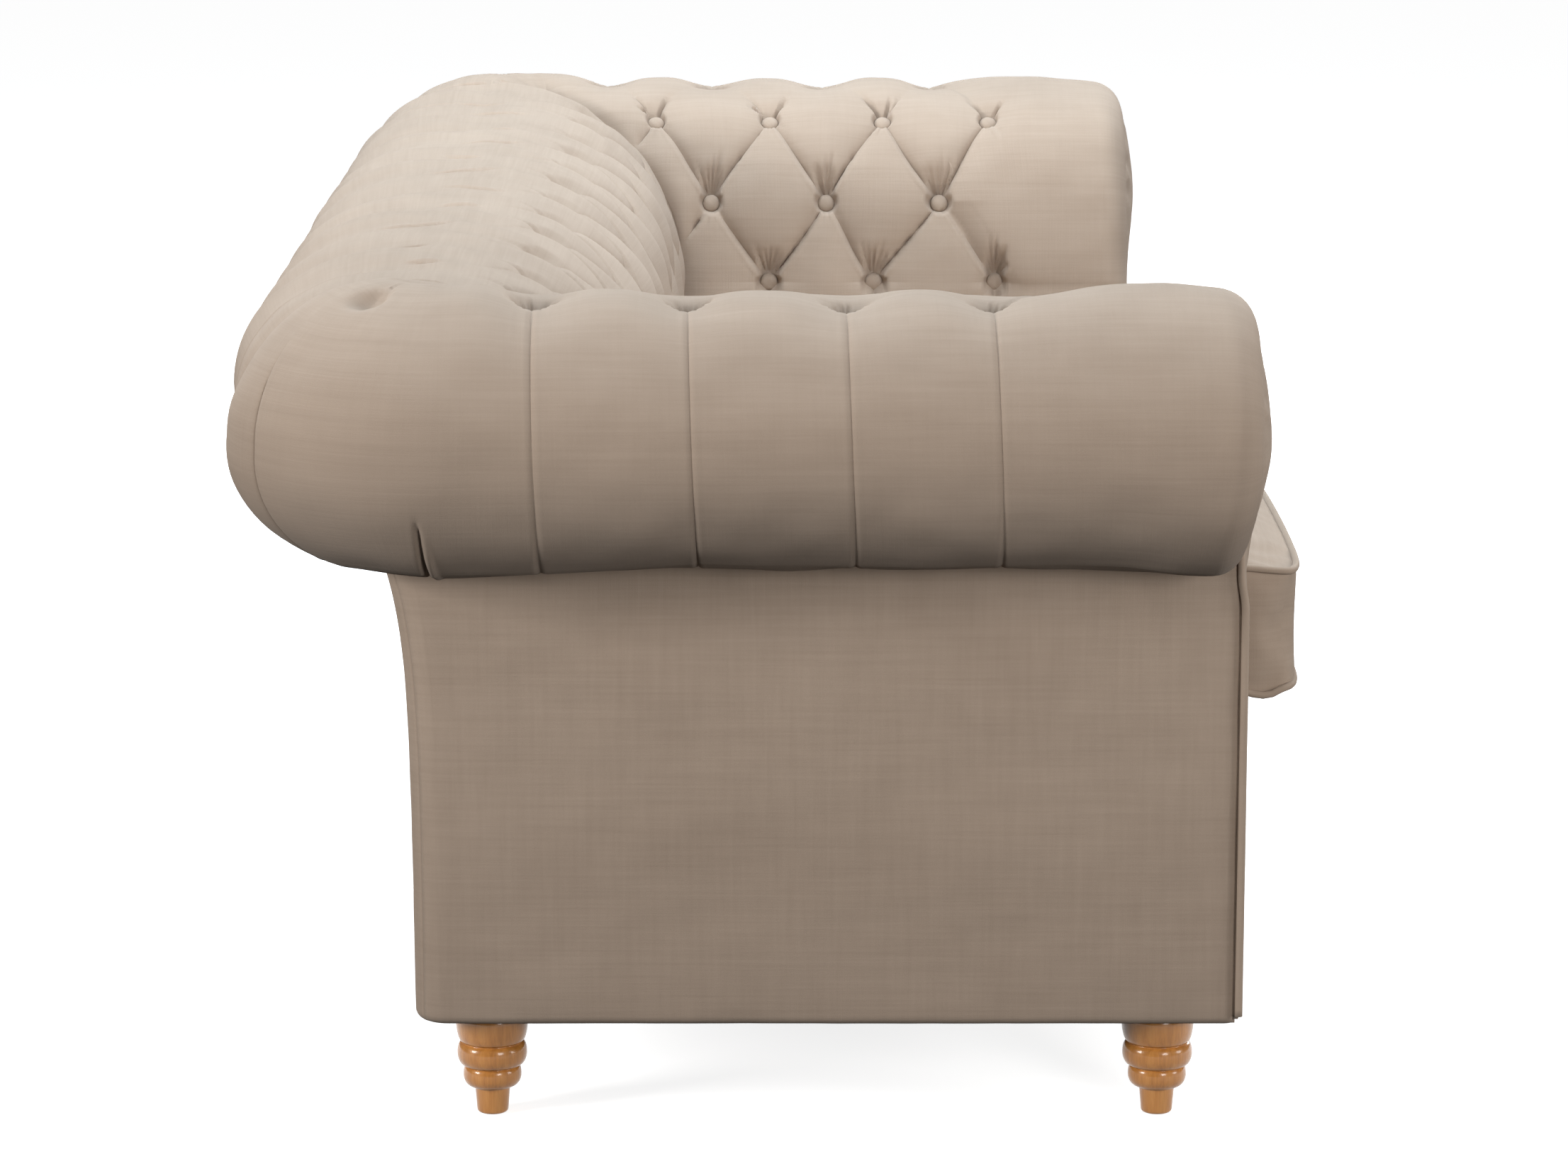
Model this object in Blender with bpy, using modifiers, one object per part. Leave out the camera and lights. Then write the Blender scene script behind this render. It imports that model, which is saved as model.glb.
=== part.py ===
"""Three-seat rolled-arm sofa, deep-buttoned inside, with loose seat cushions and turned legs.

Metres, +Z up. The front faces -Y, left is -X, and the origin is on the floor under the middle of the outline.
An inset is measured inwards from the outermost line of the rolls at the corners: along X on an arm, along Y on
the back, whose roll swells past that line in the middle.
"""

import math

import bmesh
import bpy
from mathutils import Matrix

# Overall form
WIDTH = 2.05
HEIGHT = 0.75
BODY_DEPTH = 0.9105
CUSHION_OVERHANG = 0.0495
ROLL_RADIUS = 0.125
ROLL_DROP = 0.110
ROLL_OVERHANG = 0.155
CORNER_RADIUS = 0.185
INSIDE_FALL = 0.22
INSIDE_SQUARENESS = 2.4
BACK_SWELL = 0.025
SWELL_FADE = 0.24
CORNER_SWELL_SHARE = 0.3

# Upholstery layers
PANEL_THICKNESS = 0.010
COVER_THICKNESS = 0.045
ARM_FOAM_THICKNESS = 0.054
BACK_FOAM_THICKNESS = 0.109
FACING_EDGE = 0.006
FACING_DOME = 0.0105
FACING_RIM = 0.028
BORDER_THICKNESS = 0.010
DECK_THICKNESS = 0.014
DUST_COVER_THICKNESS = 0.0015
DUST_COVER_INSET = 0.005

# Buttoning
ARM_BUTTON_PITCH = 0.131
BACK_BUTTON_PITCH = 0.1375
FIRST_BUTTON = 0.1585
BUTTON_ROWS = 4
BUTTON_DEPTH = 0.032
PLEAT_DEPTH = 0.013
ROLL_PLEAT_DEPTH = 0.006
TUFT_FADE = 0.05

# Timber frame
FRAME_THICKNESS = 0.035
RAIL_HEIGHT = 0.24
TOP_RAIL_HEIGHT = 0.065
BRACE_HEIGHT = 0.06
UPRIGHT_WIDTH = 0.06
BLOCK_THICKNESS = 0.035
BLOCK_REACH = 0.04

# Springs
SPRING_COUNT = 6
SPRING_WIRE = 0.0038
SPRING_WIDTH = 0.05
SPRING_PITCH = 0.031
CLIP_WIDTH = 0.016
CLIP_HEIGHT = 0.010
CLIP_SHEET = 0.0015

# Seat cushions
CUSHION_COUNT = 3
CUSHION_EDGE = 0.115
CUSHION_CROWN = 0.022
CUSHION_PULL = 0.008
CUSHION_CORNER = 0.010
CUSHION_CLOTH = 0.0025
CUSHION_CLEARANCE = 0.001

# Legs and their fixings
LEG_HEIGHT = 0.098
LEG_TO_RAIL = 0.0165
LEG_FRONT_SETBACK = 0.0265
LEG_REAR_SETBACK = 0.0115
LEG_TOP_RADIUS = 0.0325
LEG_UPPER_NECK_RADIUS = 0.0267
LEG_UPPER_BEAD_RADIUS = 0.0310
LEG_LOWER_NECK_RADIUS = 0.0226
LEG_LOWER_BEAD_RADIUS = 0.0258
LEG_STEM_RADIUS = 0.0156
LEG_FOOT_RADIUS = 0.0140
LEG_STEM_HEIGHT = 0.0245
LEG_LOWER_NECK_HEIGHT = 0.0440
LEG_UPPER_NECK_HEIGHT = 0.0655
LEG_TOP_EDGE = 0.016
FOOT_BEVEL = 0.0015
BOLT_RADIUS = 0.004
BOLT_IN_LEG = 0.040
BOLT_PROUD = 0.004
NUT_BARREL_RADIUS = 0.0052
NUT_BARREL_LENGTH = 0.010
NUT_FLANGE_RADIUS = 0.011
NUT_FLANGE_THICKNESS = 0.0015
BOLT_HOLE_CLEARANCE = 0.001

# Clearances
GAP = 0.0003
FOAM_GAP = 0.0008
MITRE_GAP = 0.0004

# Mesh fineness
OUTER_STEPS = (1, 2 * (BUTTON_ROWS - 1), 6)
INNER_STEPS = (1, 2, 4)
FACING_STEPS = (1, 8, 12)
COLUMNS_PER_PITCH = 4
CUSHION_DIVISIONS = (6, 6, 3)
ROUND_STEPS = 16
LEG_STEPS = 14
BEAD_STEPS = 4
WELD = 0.00001

# Places worked out from the sizes above
HALF_WIDTH = WIDTH / 2
HALF_DEPTH = (BODY_DEPTH + CUSHION_OVERHANG) / 2
REAR = HALF_DEPTH - BACK_SWELL
FACING_Y = HALF_DEPTH - BODY_DEPTH + FACING_DOME
FRAME_FRONT = FACING_Y + FACING_EDGE + GAP
FRAME_INSET = ROLL_OVERHANG + PANEL_THICKNESS + GAP
FRAME_INNER = FRAME_INSET + FRAME_THICKNESS
ARM_DEPTH = FRAME_INNER + GAP + ARM_FOAM_THICKNESS + FOAM_GAP + COVER_THICKNESS
BACK_DEPTH = FRAME_INNER + GAP + BACK_FOAM_THICKNESS + FOAM_GAP + COVER_THICKNESS
SEAT_HALF = HALF_WIDTH - ARM_DEPTH
ROLL_Z = HEIGHT - ROLL_RADIUS
UPRIGHT_TOP = HEIGHT - INSIDE_FALL
DUST_COVER_Z = LEG_HEIGHT + GAP
FRAME_Z = DUST_COVER_Z + DUST_COVER_THICKNESS + GAP
RAIL_TOP = FRAME_Z + RAIL_HEIGHT
CLIP_Z = RAIL_TOP + GAP
DECK_Z = CLIP_Z + CLIP_HEIGHT + GAP
SEAT_Z = DECK_Z + DECK_THICKNESS + GAP
POST_BACK = FRAME_FRONT + FRAME_THICKNESS
POST_INNER = ARM_DEPTH - COVER_THICKNESS - GAP
BAND_OUTER_X = HALF_WIDTH - FRAME_INSET
BAND_INNER_X = HALF_WIDTH - FRAME_INNER
BAND_OUTER_Y = REAR - FRAME_INSET
BAND_INNER_Y = REAR - FRAME_INNER
LEG_X = BAND_INNER_X - GAP - LEG_TO_RAIL
LEG_FRONT_Y = POST_BACK + GAP + LEG_FRONT_SETBACK
LEG_REAR_Y = BAND_INNER_Y - GAP - LEG_REAR_SETBACK
SIDES = (("left", -1), ("right", 1))


def clear_scene():
    for existing in list(bpy.data.objects):
        bpy.data.objects.remove(existing, do_unlink=True)


def new_collection(name):
    made = bpy.data.collections.new(name)
    bpy.context.scene.collection.children.link(made)
    return made


def principled(name, colour, roughness, metallic=0.0):
    made = bpy.data.materials.new(name)
    made.use_nodes = True
    shader = made.node_tree.nodes["Principled BSDF"]
    shader.inputs["Base Color"].default_value = (*colour, 1.0)
    shader.inputs["Roughness"].default_value = roughness
    shader.inputs["Metallic"].default_value = metallic
    made.diffuse_color = (*colour, 1.0)
    return made


clear_scene()
SOFA = new_collection("chesterfield_sofa")
CUTTERS = new_collection("cutters")
VELVET = principled("velvet", (0.42, 0.35, 0.29), 0.9)
LEG_WOOD = principled("leg_wood", (0.45, 0.22, 0.08), 0.25)
BEECH = principled("beech", (0.62, 0.46, 0.30), 0.6)
FOAM = principled("foam", (0.85, 0.80, 0.66), 0.95)
STEEL = principled("steel", (0.55, 0.55, 0.56), 0.35, 1.0)
FELT = principled("felt", (0.30, 0.29, 0.28), 0.95)


def add_object(name, data, material, smooth=False):
    made = bpy.data.objects.new(name, data)
    SOFA.objects.link(made)
    data.materials.append(material)
    if smooth:
        data.shade_smooth()
        data.set_sharp_from_angle(angle=math.radians(50))
    return made


def mesh_from(name, bm):
    mesh = bpy.data.meshes.new(name)
    bm.to_mesh(mesh)
    bm.free()
    return mesh


def box(name, low, high, material):
    """A rectangular piece between two corners."""
    size = [b - a for a, b in zip(low, high)]
    middle = [(a + b) / 2 for a, b in zip(low, high)]
    bm = bmesh.new()
    bmesh.ops.create_cube(bm, size=1.0, matrix=Matrix.Diagonal((*size, 1.0)))
    made = add_object(name, mesh_from(name, bm), material)
    made.location = middle
    return made


def side_box(name, sign, low, high, material):
    """A box whose X range is given as distances from the middle, on the side that sign says."""
    edges = sorted((sign * low[0], sign * high[0]))
    return box(name, (edges[0], *low[1:]), (edges[1], *high[1:]), material)


def extruded(name, outline, low, high, axis, material):
    """A flat outline extruded along X, Y or Z; the outline's plane is YZ, XZ or XY in that order."""
    curve = bpy.data.curves.new(name, "CURVE")
    curve.dimensions = "2D"
    curve.fill_mode = "BOTH"
    curve.extrude = (high - low) / 2
    spline = curve.splines.new("POLY")
    spline.points.add(len(outline) - 1)
    for point, (u, v) in zip(spline.points, outline):
        point.co = (u, v, 0.0, 1.0)
    spline.use_cyclic_u = True
    made = bpy.data.objects.new(name, curve)
    SOFA.objects.link(made)
    curve.materials.append(material)
    middle = (low + high) / 2
    turns = {
        "X": ((0, 0, 1, middle), (1, 0, 0, 0), (0, 1, 0, 0), (0, 0, 0, 1)),
        "Y": ((1, 0, 0, 0), (0, 0, -1, middle), (0, 1, 0, 0), (0, 0, 0, 1)),
        "Z": ((1, 0, 0, 0), (0, 1, 0, 0), (0, 0, 1, middle), (0, 0, 0, 1)),
    }
    made.matrix_world = Matrix(turns[axis])
    return made


def turned(name, profile, closed, location, material, steps):
    """A piece turned about its own Z axis from a profile of (radius, height), top to bottom on its outside."""
    bm = bmesh.new()
    points = [bm.verts.new((radius, 0.0, height)) for radius, height in profile]
    pairs = list(zip(points, points[1:]))
    if closed:
        pairs.append((points[-1], points[0]))
    for first, second in pairs:
        bm.edges.new((first, second))
    made = add_object(name, mesh_from(name, bm), material)
    made.location = location
    screw = made.modifiers.new("turn", "SCREW")
    screw.steps = steps
    screw.render_steps = steps
    screw.use_merge_vertices = True
    screw.merge_threshold = WELD
    screw.use_normal_calculate = False
    return made


def bore(target, centre, radius, low, high):
    """Cut a round hole, upright at centre, between two heights."""
    bm = bmesh.new()
    bmesh.ops.create_cone(bm, cap_ends=True, segments=ROUND_STEPS, radius1=radius, radius2=radius,
                          depth=high - low)
    name = target.name + "_hole"
    cutter = bpy.data.objects.new(name, mesh_from(name, bm))
    CUTTERS.objects.link(cutter)
    cutter.location = (centre[0], centre[1], (low + high) / 2)
    cutter.hide_render = True
    cutter.display_type = "WIRE"
    cut = target.modifiers.new("hole", "BOOLEAN")
    cut.operation = "DIFFERENCE"
    cut.solver = "EXACT"
    cut.object = cutter


def resample(points, steps):
    """Points at equal distances along a fine polyline."""
    lengths = [0.0]
    for first, second in zip(points, points[1:]):
        lengths.append(lengths[-1] + math.dist(first, second))
    result = []
    place = 0
    for step in range(steps + 1):
        wanted = lengths[-1] * step / steps
        while place < len(points) - 2 and lengths[place + 1] < wanted:
            place += 1
        share = (wanted - lengths[place]) / (lengths[place + 1] - lengths[place])
        result.append(tuple(a + (b - a) * share for a, b in zip(points[place], points[place + 1])))
    return result


def pad_section(depth, inset, steps, foot, under):
    """A pad's outline as (inset, height): from its foot up the inside, over the crest and under the roll.

    depth is the pad's whole inset at the seat, inset lies that far inside the outer face, steps are the
    divisions of the upright, the inside curve and the roll, and the roll stops below the inset named under.
    """
    upright_steps, inside_steps, roll_steps = steps
    span = depth - inset - ROLL_RADIUS
    fall = INSIDE_FALL - inset
    fine = []
    fine_steps = 120
    for step in range(fine_steps + 1):
        angle = math.pi / 2 * step / fine_steps
        across = math.cos(angle) ** (2 / INSIDE_SQUARENESS)
        up = math.sin(angle) ** (2 / INSIDE_SQUARENESS)
        fine.append((ROLL_RADIUS + span * across, UPRIGHT_TOP + fall * up))
    points = []
    for step in range(upright_steps):
        points.append((depth - inset, foot + (UPRIGHT_TOP - foot) * step / upright_steps))
    points += resample(fine, inside_steps)
    radius = ROLL_RADIUS - inset
    below = math.pi / 2 + math.asin((under - ROLL_RADIUS) / ROLL_RADIUS)
    half_steps = roll_steps // 2
    for step in range(1, roll_steps + 1):
        past_crest = min(step, half_steps) * math.pi / 2 / half_steps
        past_outermost = max(step - half_steps, 0) * below / half_steps
        angle = math.pi / 2 - past_crest - past_outermost
        rise = radius if angle > 0 else ROLL_DROP - inset
        points.append((ROLL_RADIUS - radius * math.cos(angle), ROLL_Z + rise * math.sin(angle)))
    return points


def plan_point(arm_inset, back_inset, column, half_width, rear):
    """Where a column of the upholstery stands in plan, on the right half; arm and back meet in a mitre."""
    kind, value = column
    radius = max(0.0, CORNER_RADIUS - arm_inset)
    side = half_width - arm_inset
    back = rear - back_inset
    if kind == "arm":
        return side, min(value, back - radius)
    if kind == "back":
        return min(value, side - radius), back
    return side - radius + radius * math.cos(value), back - radius + radius * math.sin(value)


def back_swell(column, inset):
    """How far the back roll stands out past the line of the rear corners, at an inset: fullest between them."""
    kind, value = column
    outward = max(0.0, 1 - inset / ROLL_RADIUS)
    if kind == "arm":
        return 0.0
    if kind == "corner":
        return BACK_SWELL * outward * CORNER_SWELL_SHARE * math.sin(value) ** 2
    end = HALF_WIDTH - CORNER_RADIUS
    full = smooth_step(end, end - SWELL_FADE, abs(value))
    return BACK_SWELL * outward * (CORNER_SWELL_SHARE + (1 - CORNER_SWELL_SHARE) * full)


def mirrored(ring):
    return [(-x, y, z) for x, y, z in ring]


def loft(name, rings, depths, strip, material, smooth):
    """A closed body through rings of equal length.

    depths gives each point's tuft depth, and a cell folds along its deeper diagonal. strip is how many points
    of a ring are its outer face: the ends are then closed from the outer to the inner face, and with strip 0
    an end is one flat face.
    """
    bm = bmesh.new()
    count = len(rings[0])
    grid = [[bm.verts.new(point) for point in ring] for ring in rings]
    for column, (near, far) in enumerate(zip(grid, grid[1:])):
        near_depths, far_depths = depths[column:column + 2]
        for place in range(count):
            after = (place + 1) % count
            corners = [near[place], near[after], far[after], far[place]]
            if near_depths[after] + far_depths[place] > near_depths[place] + far_depths[after]:
                corners = corners[1:] + corners[:1]
            bm.faces.new(corners[:3])
            bm.faces.new((corners[0], corners[2], corners[3]))
    for ring in (grid[0], grid[-1]):
        if strip == 0:
            bm.faces.new(ring)
            continue
        outer = ring[:strip]
        inner = ring[strip:][::-1]
        close_strip(bm, outer, inner)
    bmesh.ops.remove_doubles(bm, verts=bm.verts[:], dist=WELD)
    bmesh.ops.recalc_face_normals(bm, faces=bm.faces[:])
    return add_object(name, mesh_from(name, bm), material, smooth)


def close_strip(bm, outer, inner):
    """Triangles between two rows of points that run the same way."""
    first = 0
    second = 0
    while first < len(outer) - 1 or second < len(inner) - 1:
        outer_share = (first + 1) / (len(outer) - 1)
        inner_share = (second + 1) / (len(inner) - 1)
        if outer_share <= inner_share and first < len(outer) - 1:
            bm.faces.new((outer[first], outer[first + 1], inner[second]))
            first += 1
        else:
            bm.faces.new((outer[first], inner[second + 1], inner[second]))
            second += 1


def smooth_step(low, high, value):
    share = min(1.0, max(0.0, (value - low) / (high - low)))
    return share * share * (3 - 2 * share)


def tuft_depth(column, row):
    """Depth of the buttoned surface below its envelope.

    column counts half pitches and row counts button rows from the crest, inwards. Buttons stand where the
    two add up to an even number; folds join each to its four neighbours, and run straight past the outer rows.
    """
    last = BUTTON_ROWS - 1
    if row < 0:
        fold = math.cos(math.pi * column / 2) ** 2
        fade = smooth_step(-1.2, 0.0, row)
        return (ROLL_PLEAT_DEPTH + (BUTTON_DEPTH - ROLL_PLEAT_DEPTH) * fade) * fold ** (2 - fade)
    if row > last:
        fold = math.cos(math.pi * (column + last) / 2) ** 2
        return PLEAT_DEPTH * fold
    rising = math.cos(math.pi * (column + row) / 2) ** 2
    falling = math.cos(math.pi * (column - row) / 2) ** 2
    return PLEAT_DEPTH * max(rising, falling) + (BUTTON_DEPTH - PLEAT_DEPTH) * rising * falling


def row_of(place):
    """Button row of a point of the outer section, counted from the crest; negative over the roll."""
    upright, inside, roll = OUTER_STEPS
    crest = upright + inside
    if place <= crest:
        return (crest - place) * (BUTTON_ROWS - 1) / inside
    return (crest - place) * BUTTON_ROWS / roll


def dented(section, place, depth):
    """A point of a section moved into the pad by depth, square to the outline."""
    before = section[max(place - 1, 0)]
    after = section[min(place + 1, len(section) - 1)]
    along = (after[0] - before[0], after[1] - before[1])
    length = math.hypot(*along)
    inset, height = section[place]
    return inset - depth * along[1] / length, height + depth * along[0] / length


def column_depth(column, place, arm, back):
    """Tuft depth at a point of a column: nothing at the arm's front, in the corner and at the mitre."""
    kind, value = column
    if kind == "corner":
        return 0.0
    radius = max(0.0, CORNER_RADIUS - arm[place][0])
    if kind == "arm":
        to_mitre = REAR - back[place][0] - radius - value
        front = smooth_step(FACING_Y + FIRST_BUTTON - TUFT_FADE, FACING_Y + FIRST_BUTTON, value)
        half_pitches = (value - FACING_Y - FIRST_BUTTON) / (ARM_BUTTON_PITCH / 2) + 1
    else:
        to_mitre = HALF_WIDTH - arm[place][0] - radius - abs(value)
        front = 1.0
        half_pitches = value / (BACK_BUTTON_PITCH / 2)
    return tuft_depth(half_pitches, row_of(place)) * front * smooth_step(0.0, TUFT_FADE, to_mitre)


def cover_ring(column, half_width, rear):
    """One closed section of a buttoned cover, its outer face and then its inner face back, and its depths."""
    under = FRAME_INSET - GAP
    arm = pad_section(ARM_DEPTH, 0.0, OUTER_STEPS, SEAT_Z, under)
    back = pad_section(BACK_DEPTH, 0.0, OUTER_STEPS, SEAT_Z, under)
    ring = []
    depths = []
    for place, (arm_point, back_point) in enumerate(zip(arm, back)):
        depth = column_depth(column, place, arm, back)
        x, y = plan_point(arm_point[0], back_point[0], column, half_width, rear)
        if column[0] == "back":
            inset, height = dented(back, place, depth)
            y += back_point[0] - inset
        else:
            inset, height = dented(arm, place, depth)
            x += arm_point[0] - inset
        y += back_swell(column, back_point[0])
        ring.append((x, y, height))
        depths.append(depth)
    arm = pad_section(ARM_DEPTH, COVER_THICKNESS, INNER_STEPS, SEAT_Z, under)
    back = pad_section(BACK_DEPTH, COVER_THICKNESS, INNER_STEPS, SEAT_Z, under)
    for arm_point, back_point in reversed(list(zip(arm, back))):
        x, y = plan_point(arm_point[0], back_point[0], column, half_width, rear)
        ring.append((x, y, arm_point[1]))
        depths.append(0.0)
    return ring, depths


def buttoned_covers():
    strip = sum(OUTER_STEPS) + 1
    crest_corner = max(0.0, CORNER_RADIUS - ROLL_RADIUS) + ROLL_RADIUS
    step = ARM_BUTTON_PITCH / COLUMNS_PER_PITCH
    arm_columns = [("arm", FRAME_FRONT)]
    place = FACING_Y + FIRST_BUTTON - step * int((FIRST_BUTTON - FACING_EDGE - GAP) / step - 0.5)
    while place < REAR - crest_corner - step / 4:
        arm_columns.append(("arm", place))
        place += step
    arm_columns += [("corner", math.pi / 8 * turn) for turn in range(3)]
    rings, depths = zip(*(cover_ring(column, HALF_WIDTH, REAR - MITRE_GAP) for column in arm_columns))
    for side, sign in SIDES:
        side_rings = rings if sign > 0 else [mirrored(ring) for ring in rings]
        loft(side + "_arm_buttoned_cover", side_rings, depths, strip, VELVET, True)
    step = BACK_BUTTON_PITCH / COLUMNS_PER_PITCH
    reach = int((HALF_WIDTH - crest_corner - step / 4) / step)
    back_columns = [("corner", math.pi / 8 * turn) for turn in range(2, 5)]
    back_columns += [("back", step * place) for place in range(reach, -1, -1)]
    rings, depths = zip(*(cover_ring(column, HALF_WIDTH - MITRE_GAP, REAR) for column in back_columns))
    rings += tuple(mirrored(ring) for ring in rings[-2::-1])
    loft("back_buttoned_cover", rings, depths + depths[-2::-1], strip, VELVET, True)


def foam_ring(column):
    """A section of the roll and pad foam, hollowed where the top rail and the frame stand."""
    inset = COVER_THICKNESS + FOAM_GAP
    under = FRAME_INSET - GAP
    arm = pad_section(ARM_DEPTH, inset, INNER_STEPS, SEAT_Z, under)
    back = pad_section(BACK_DEPTH, inset, INNER_STEPS, SEAT_Z, under)
    top = ROLL_Z + GAP
    hollow = [(under, arm[-1][1]), (under, top), (FRAME_INNER + GAP, top), (FRAME_INNER + GAP, SEAT_Z)]
    ring = []
    for arm_point, back_point in zip(arm + hollow, back + hollow):
        x, y = plan_point(arm_point[0], back_point[0], column, HALF_WIDTH, REAR)
        ring.append((x, y, arm_point[1]))
    return ring


def plain_depths(rings):
    return [[0.0] * len(ring) for ring in rings]


def foam_pads():
    join = REAR - (BACK_DEPTH - COVER_THICKNESS - FOAM_GAP)
    arm_rings = [foam_ring(("arm", place)) for place in (POST_BACK + GAP, join - GAP)]
    for side, sign in SIDES:
        rings = arm_rings if sign > 0 else [mirrored(ring) for ring in arm_rings]
        loft(side + "_arm_foam", rings, plain_depths(rings), 0, FOAM, False)
    columns = [("arm", join)] + [("corner", math.pi / 8 * turn) for turn in range(5)]
    rings = [foam_ring(column) for column in columns]
    rings += [mirrored(ring) for ring in rings[::-1]]
    loft("back_foam", rings, plain_depths(rings), 0, FOAM, False)


def corner_arc(inset, first, last, steps):
    """Plan points round the right rear corner at an inset, between two angles."""
    points = []
    for step in range(steps + 1):
        angle = first + (last - first) * step / steps
        points.append(plan_point(inset, inset, ("corner", angle), HALF_WIDTH, REAR))
    return points


def outside_panels():
    outer = ROLL_OVERHANG
    inner = ROLL_OVERHANG + PANEL_THICKNESS
    drop = ROLL_DROP * math.sqrt(1 - (ROLL_OVERHANG / ROLL_RADIUS - 1) ** 2)
    top = ROLL_Z - drop - GAP
    seam = math.pi / 4
    half_gap = GAP / max(CORNER_RADIUS - outer, PANEL_THICKNESS)
    outline = [(HALF_WIDTH - outer, FRAME_FRONT)] + corner_arc(outer, 0.0, seam - half_gap, 4)
    outline += corner_arc(inner, 0.0, seam - half_gap, 4)[::-1] + [(HALF_WIDTH - inner, FRAME_FRONT)]
    for side, sign in SIDES:
        extruded(side + "_outside_panel", [(sign * x, y) for x, y in outline], FRAME_Z, top, "Z", VELVET)
    face = corner_arc(outer, seam + half_gap, math.pi / 2, 4)
    lining = corner_arc(inner, seam + half_gap, math.pi / 2, 4)
    outline = face + [(-x, y) for x, y in face[::-1]] + [(-x, y) for x, y in lining] + lining[::-1]
    extruded("back_outside_panel", outline, FRAME_Z, top, "Z", VELVET)


def arm_facings():
    """The domed front of each arm: a keyhole outline, flat below and swelling over the roll."""
    outline = [(ARM_DEPTH, FRAME_Z)]
    outline += pad_section(ARM_DEPTH, 0.0, FACING_STEPS, SEAT_Z, ROLL_OVERHANG)
    outline.append((ROLL_OVERHANG, FRAME_Z))
    rises = (0.0, 0.75, 1.0)
    swell_start = ROLL_Z - ROLL_RADIUS
    for side, sign in SIDES:
        bm = bmesh.new()
        loop = [bm.verts.new((sign * (HALF_WIDTH - inset), FACING_Y, height)) for inset, height in outline]
        front = bm.faces.new(loop)
        back = bmesh.ops.extrude_face_region(bm, geom=[front], use_keep_orig=True)["geom"]
        for vert in (item for item in back if isinstance(item, bmesh.types.BMVert)):
            vert.co.y += FACING_EDGE
        for rise, before in zip(rises[1:], rises):
            bmesh.ops.inset_region(bm, faces=[front], thickness=FACING_RIM, use_even_offset=True)
            for vert in front.verts:
                swell = smooth_step(swell_start - ROLL_RADIUS, ROLL_Z, vert.co.z)
                vert.co.y -= FACING_DOME * (rise - before) * swell
        bmesh.ops.recalc_face_normals(bm, faces=bm.faces[:])
        add_object(side + "_arm_facing", mesh_from(side + "_arm_facing", bm), VELVET, True)


def front_border():
    low = FRAME_FRONT - GAP - BORDER_THICKNESS
    edge = SEAT_HALF - GAP
    box("front_border", (-edge, low, FRAME_Z), (edge, FRAME_FRONT - GAP, DECK_Z + DECK_THICKNESS), VELVET)


def side_pull(along, across):
    """How far a cushion's side lies inside its outermost line: drawn in between corners that are rounded."""
    return CUSHION_PULL * (1 - along * along) + CUSHION_CORNER * (along * across) ** 8


def least_pull(axis):
    divisions = CUSHION_DIVISIONS[1 - axis]
    return min(side_pull(2 * step / divisions - 1, 1.0) for step in range(divisions + 1))


def pillow(name, middle, half, crown, shrink, opening, material):
    """A boxed cushion with a crown, sides drawn in between its corners and rounded corners."""
    bm = bmesh.new()
    bmesh.ops.create_cube(bm, size=2.0)
    for axis, divisions in enumerate(CUSHION_DIVISIONS):
        along = [edge for edge in bm.edges if abs(edge.verts[0].co[axis] - edge.verts[1].co[axis]) > 1.0]
        bmesh.ops.subdivide_edges(bm, edges=along, cuts=divisions - 1, use_grid_fill=True)
    if opening:
        zip_faces = []
        for face in bm.faces:
            centre = face.calc_center_median()
            rows = 1 / CUSHION_DIVISIONS[2]
            if centre.y > 0.999 and abs(centre.z) < rows and abs(centre.x) < 1 - 1.5 / CUSHION_DIVISIONS[0]:
                zip_faces.append(face)
        bmesh.ops.delete(bm, geom=zip_faces, context="FACES")
    reach = [half[0] - shrink + least_pull(0), half[1] - shrink + least_pull(1), half[2] - shrink]
    for vert in bm.verts:
        u, v, w = vert.co
        pull_x = side_pull(v, abs(u))
        pull_y = side_pull(u, abs(v))
        lift = crown * (1 - u * u) * (1 - v * v) if w > 0 else 0.0
        vert.co = (u * (reach[0] - abs(u) * pull_x), v * (reach[1] - abs(v) * pull_y),
                   w * (reach[2] + lift * w))
    made = add_object(name, mesh_from(name, bm), material, True)
    made.location = middle
    return made


def seat_cushions():
    width = 2 * SEAT_HALF / CUSHION_COUNT
    front = -HALF_DEPTH
    rear = REAR - BACK_DEPTH - CUSHION_CLEARANCE
    half = (width / 2 - CUSHION_CLEARANCE, (rear - front) / 2, CUSHION_EDGE / 2)
    names = ["left", "middle", "right"] if CUSHION_COUNT == 3 else [str(n + 1) for n in range(CUSHION_COUNT)]
    for place, name in enumerate(names):
        middle = (-SEAT_HALF + width * (place + 0.5), (front + rear) / 2, SEAT_Z + CUSHION_EDGE / 2)
        cover = pillow(name + "_cushion_cover", middle, half, CUSHION_CROWN, 0.0, True, VELVET)
        cloth = cover.modifiers.new("cloth", "SOLIDIFY")
        cloth.thickness = CUSHION_CLOTH
        cloth.offset = -1.0
        cloth.use_even_offset = True
        pillow(name + "_cushion_core", middle, half, CUSHION_CROWN, CUSHION_CLOTH + 2 * GAP, False, FOAM)


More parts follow.
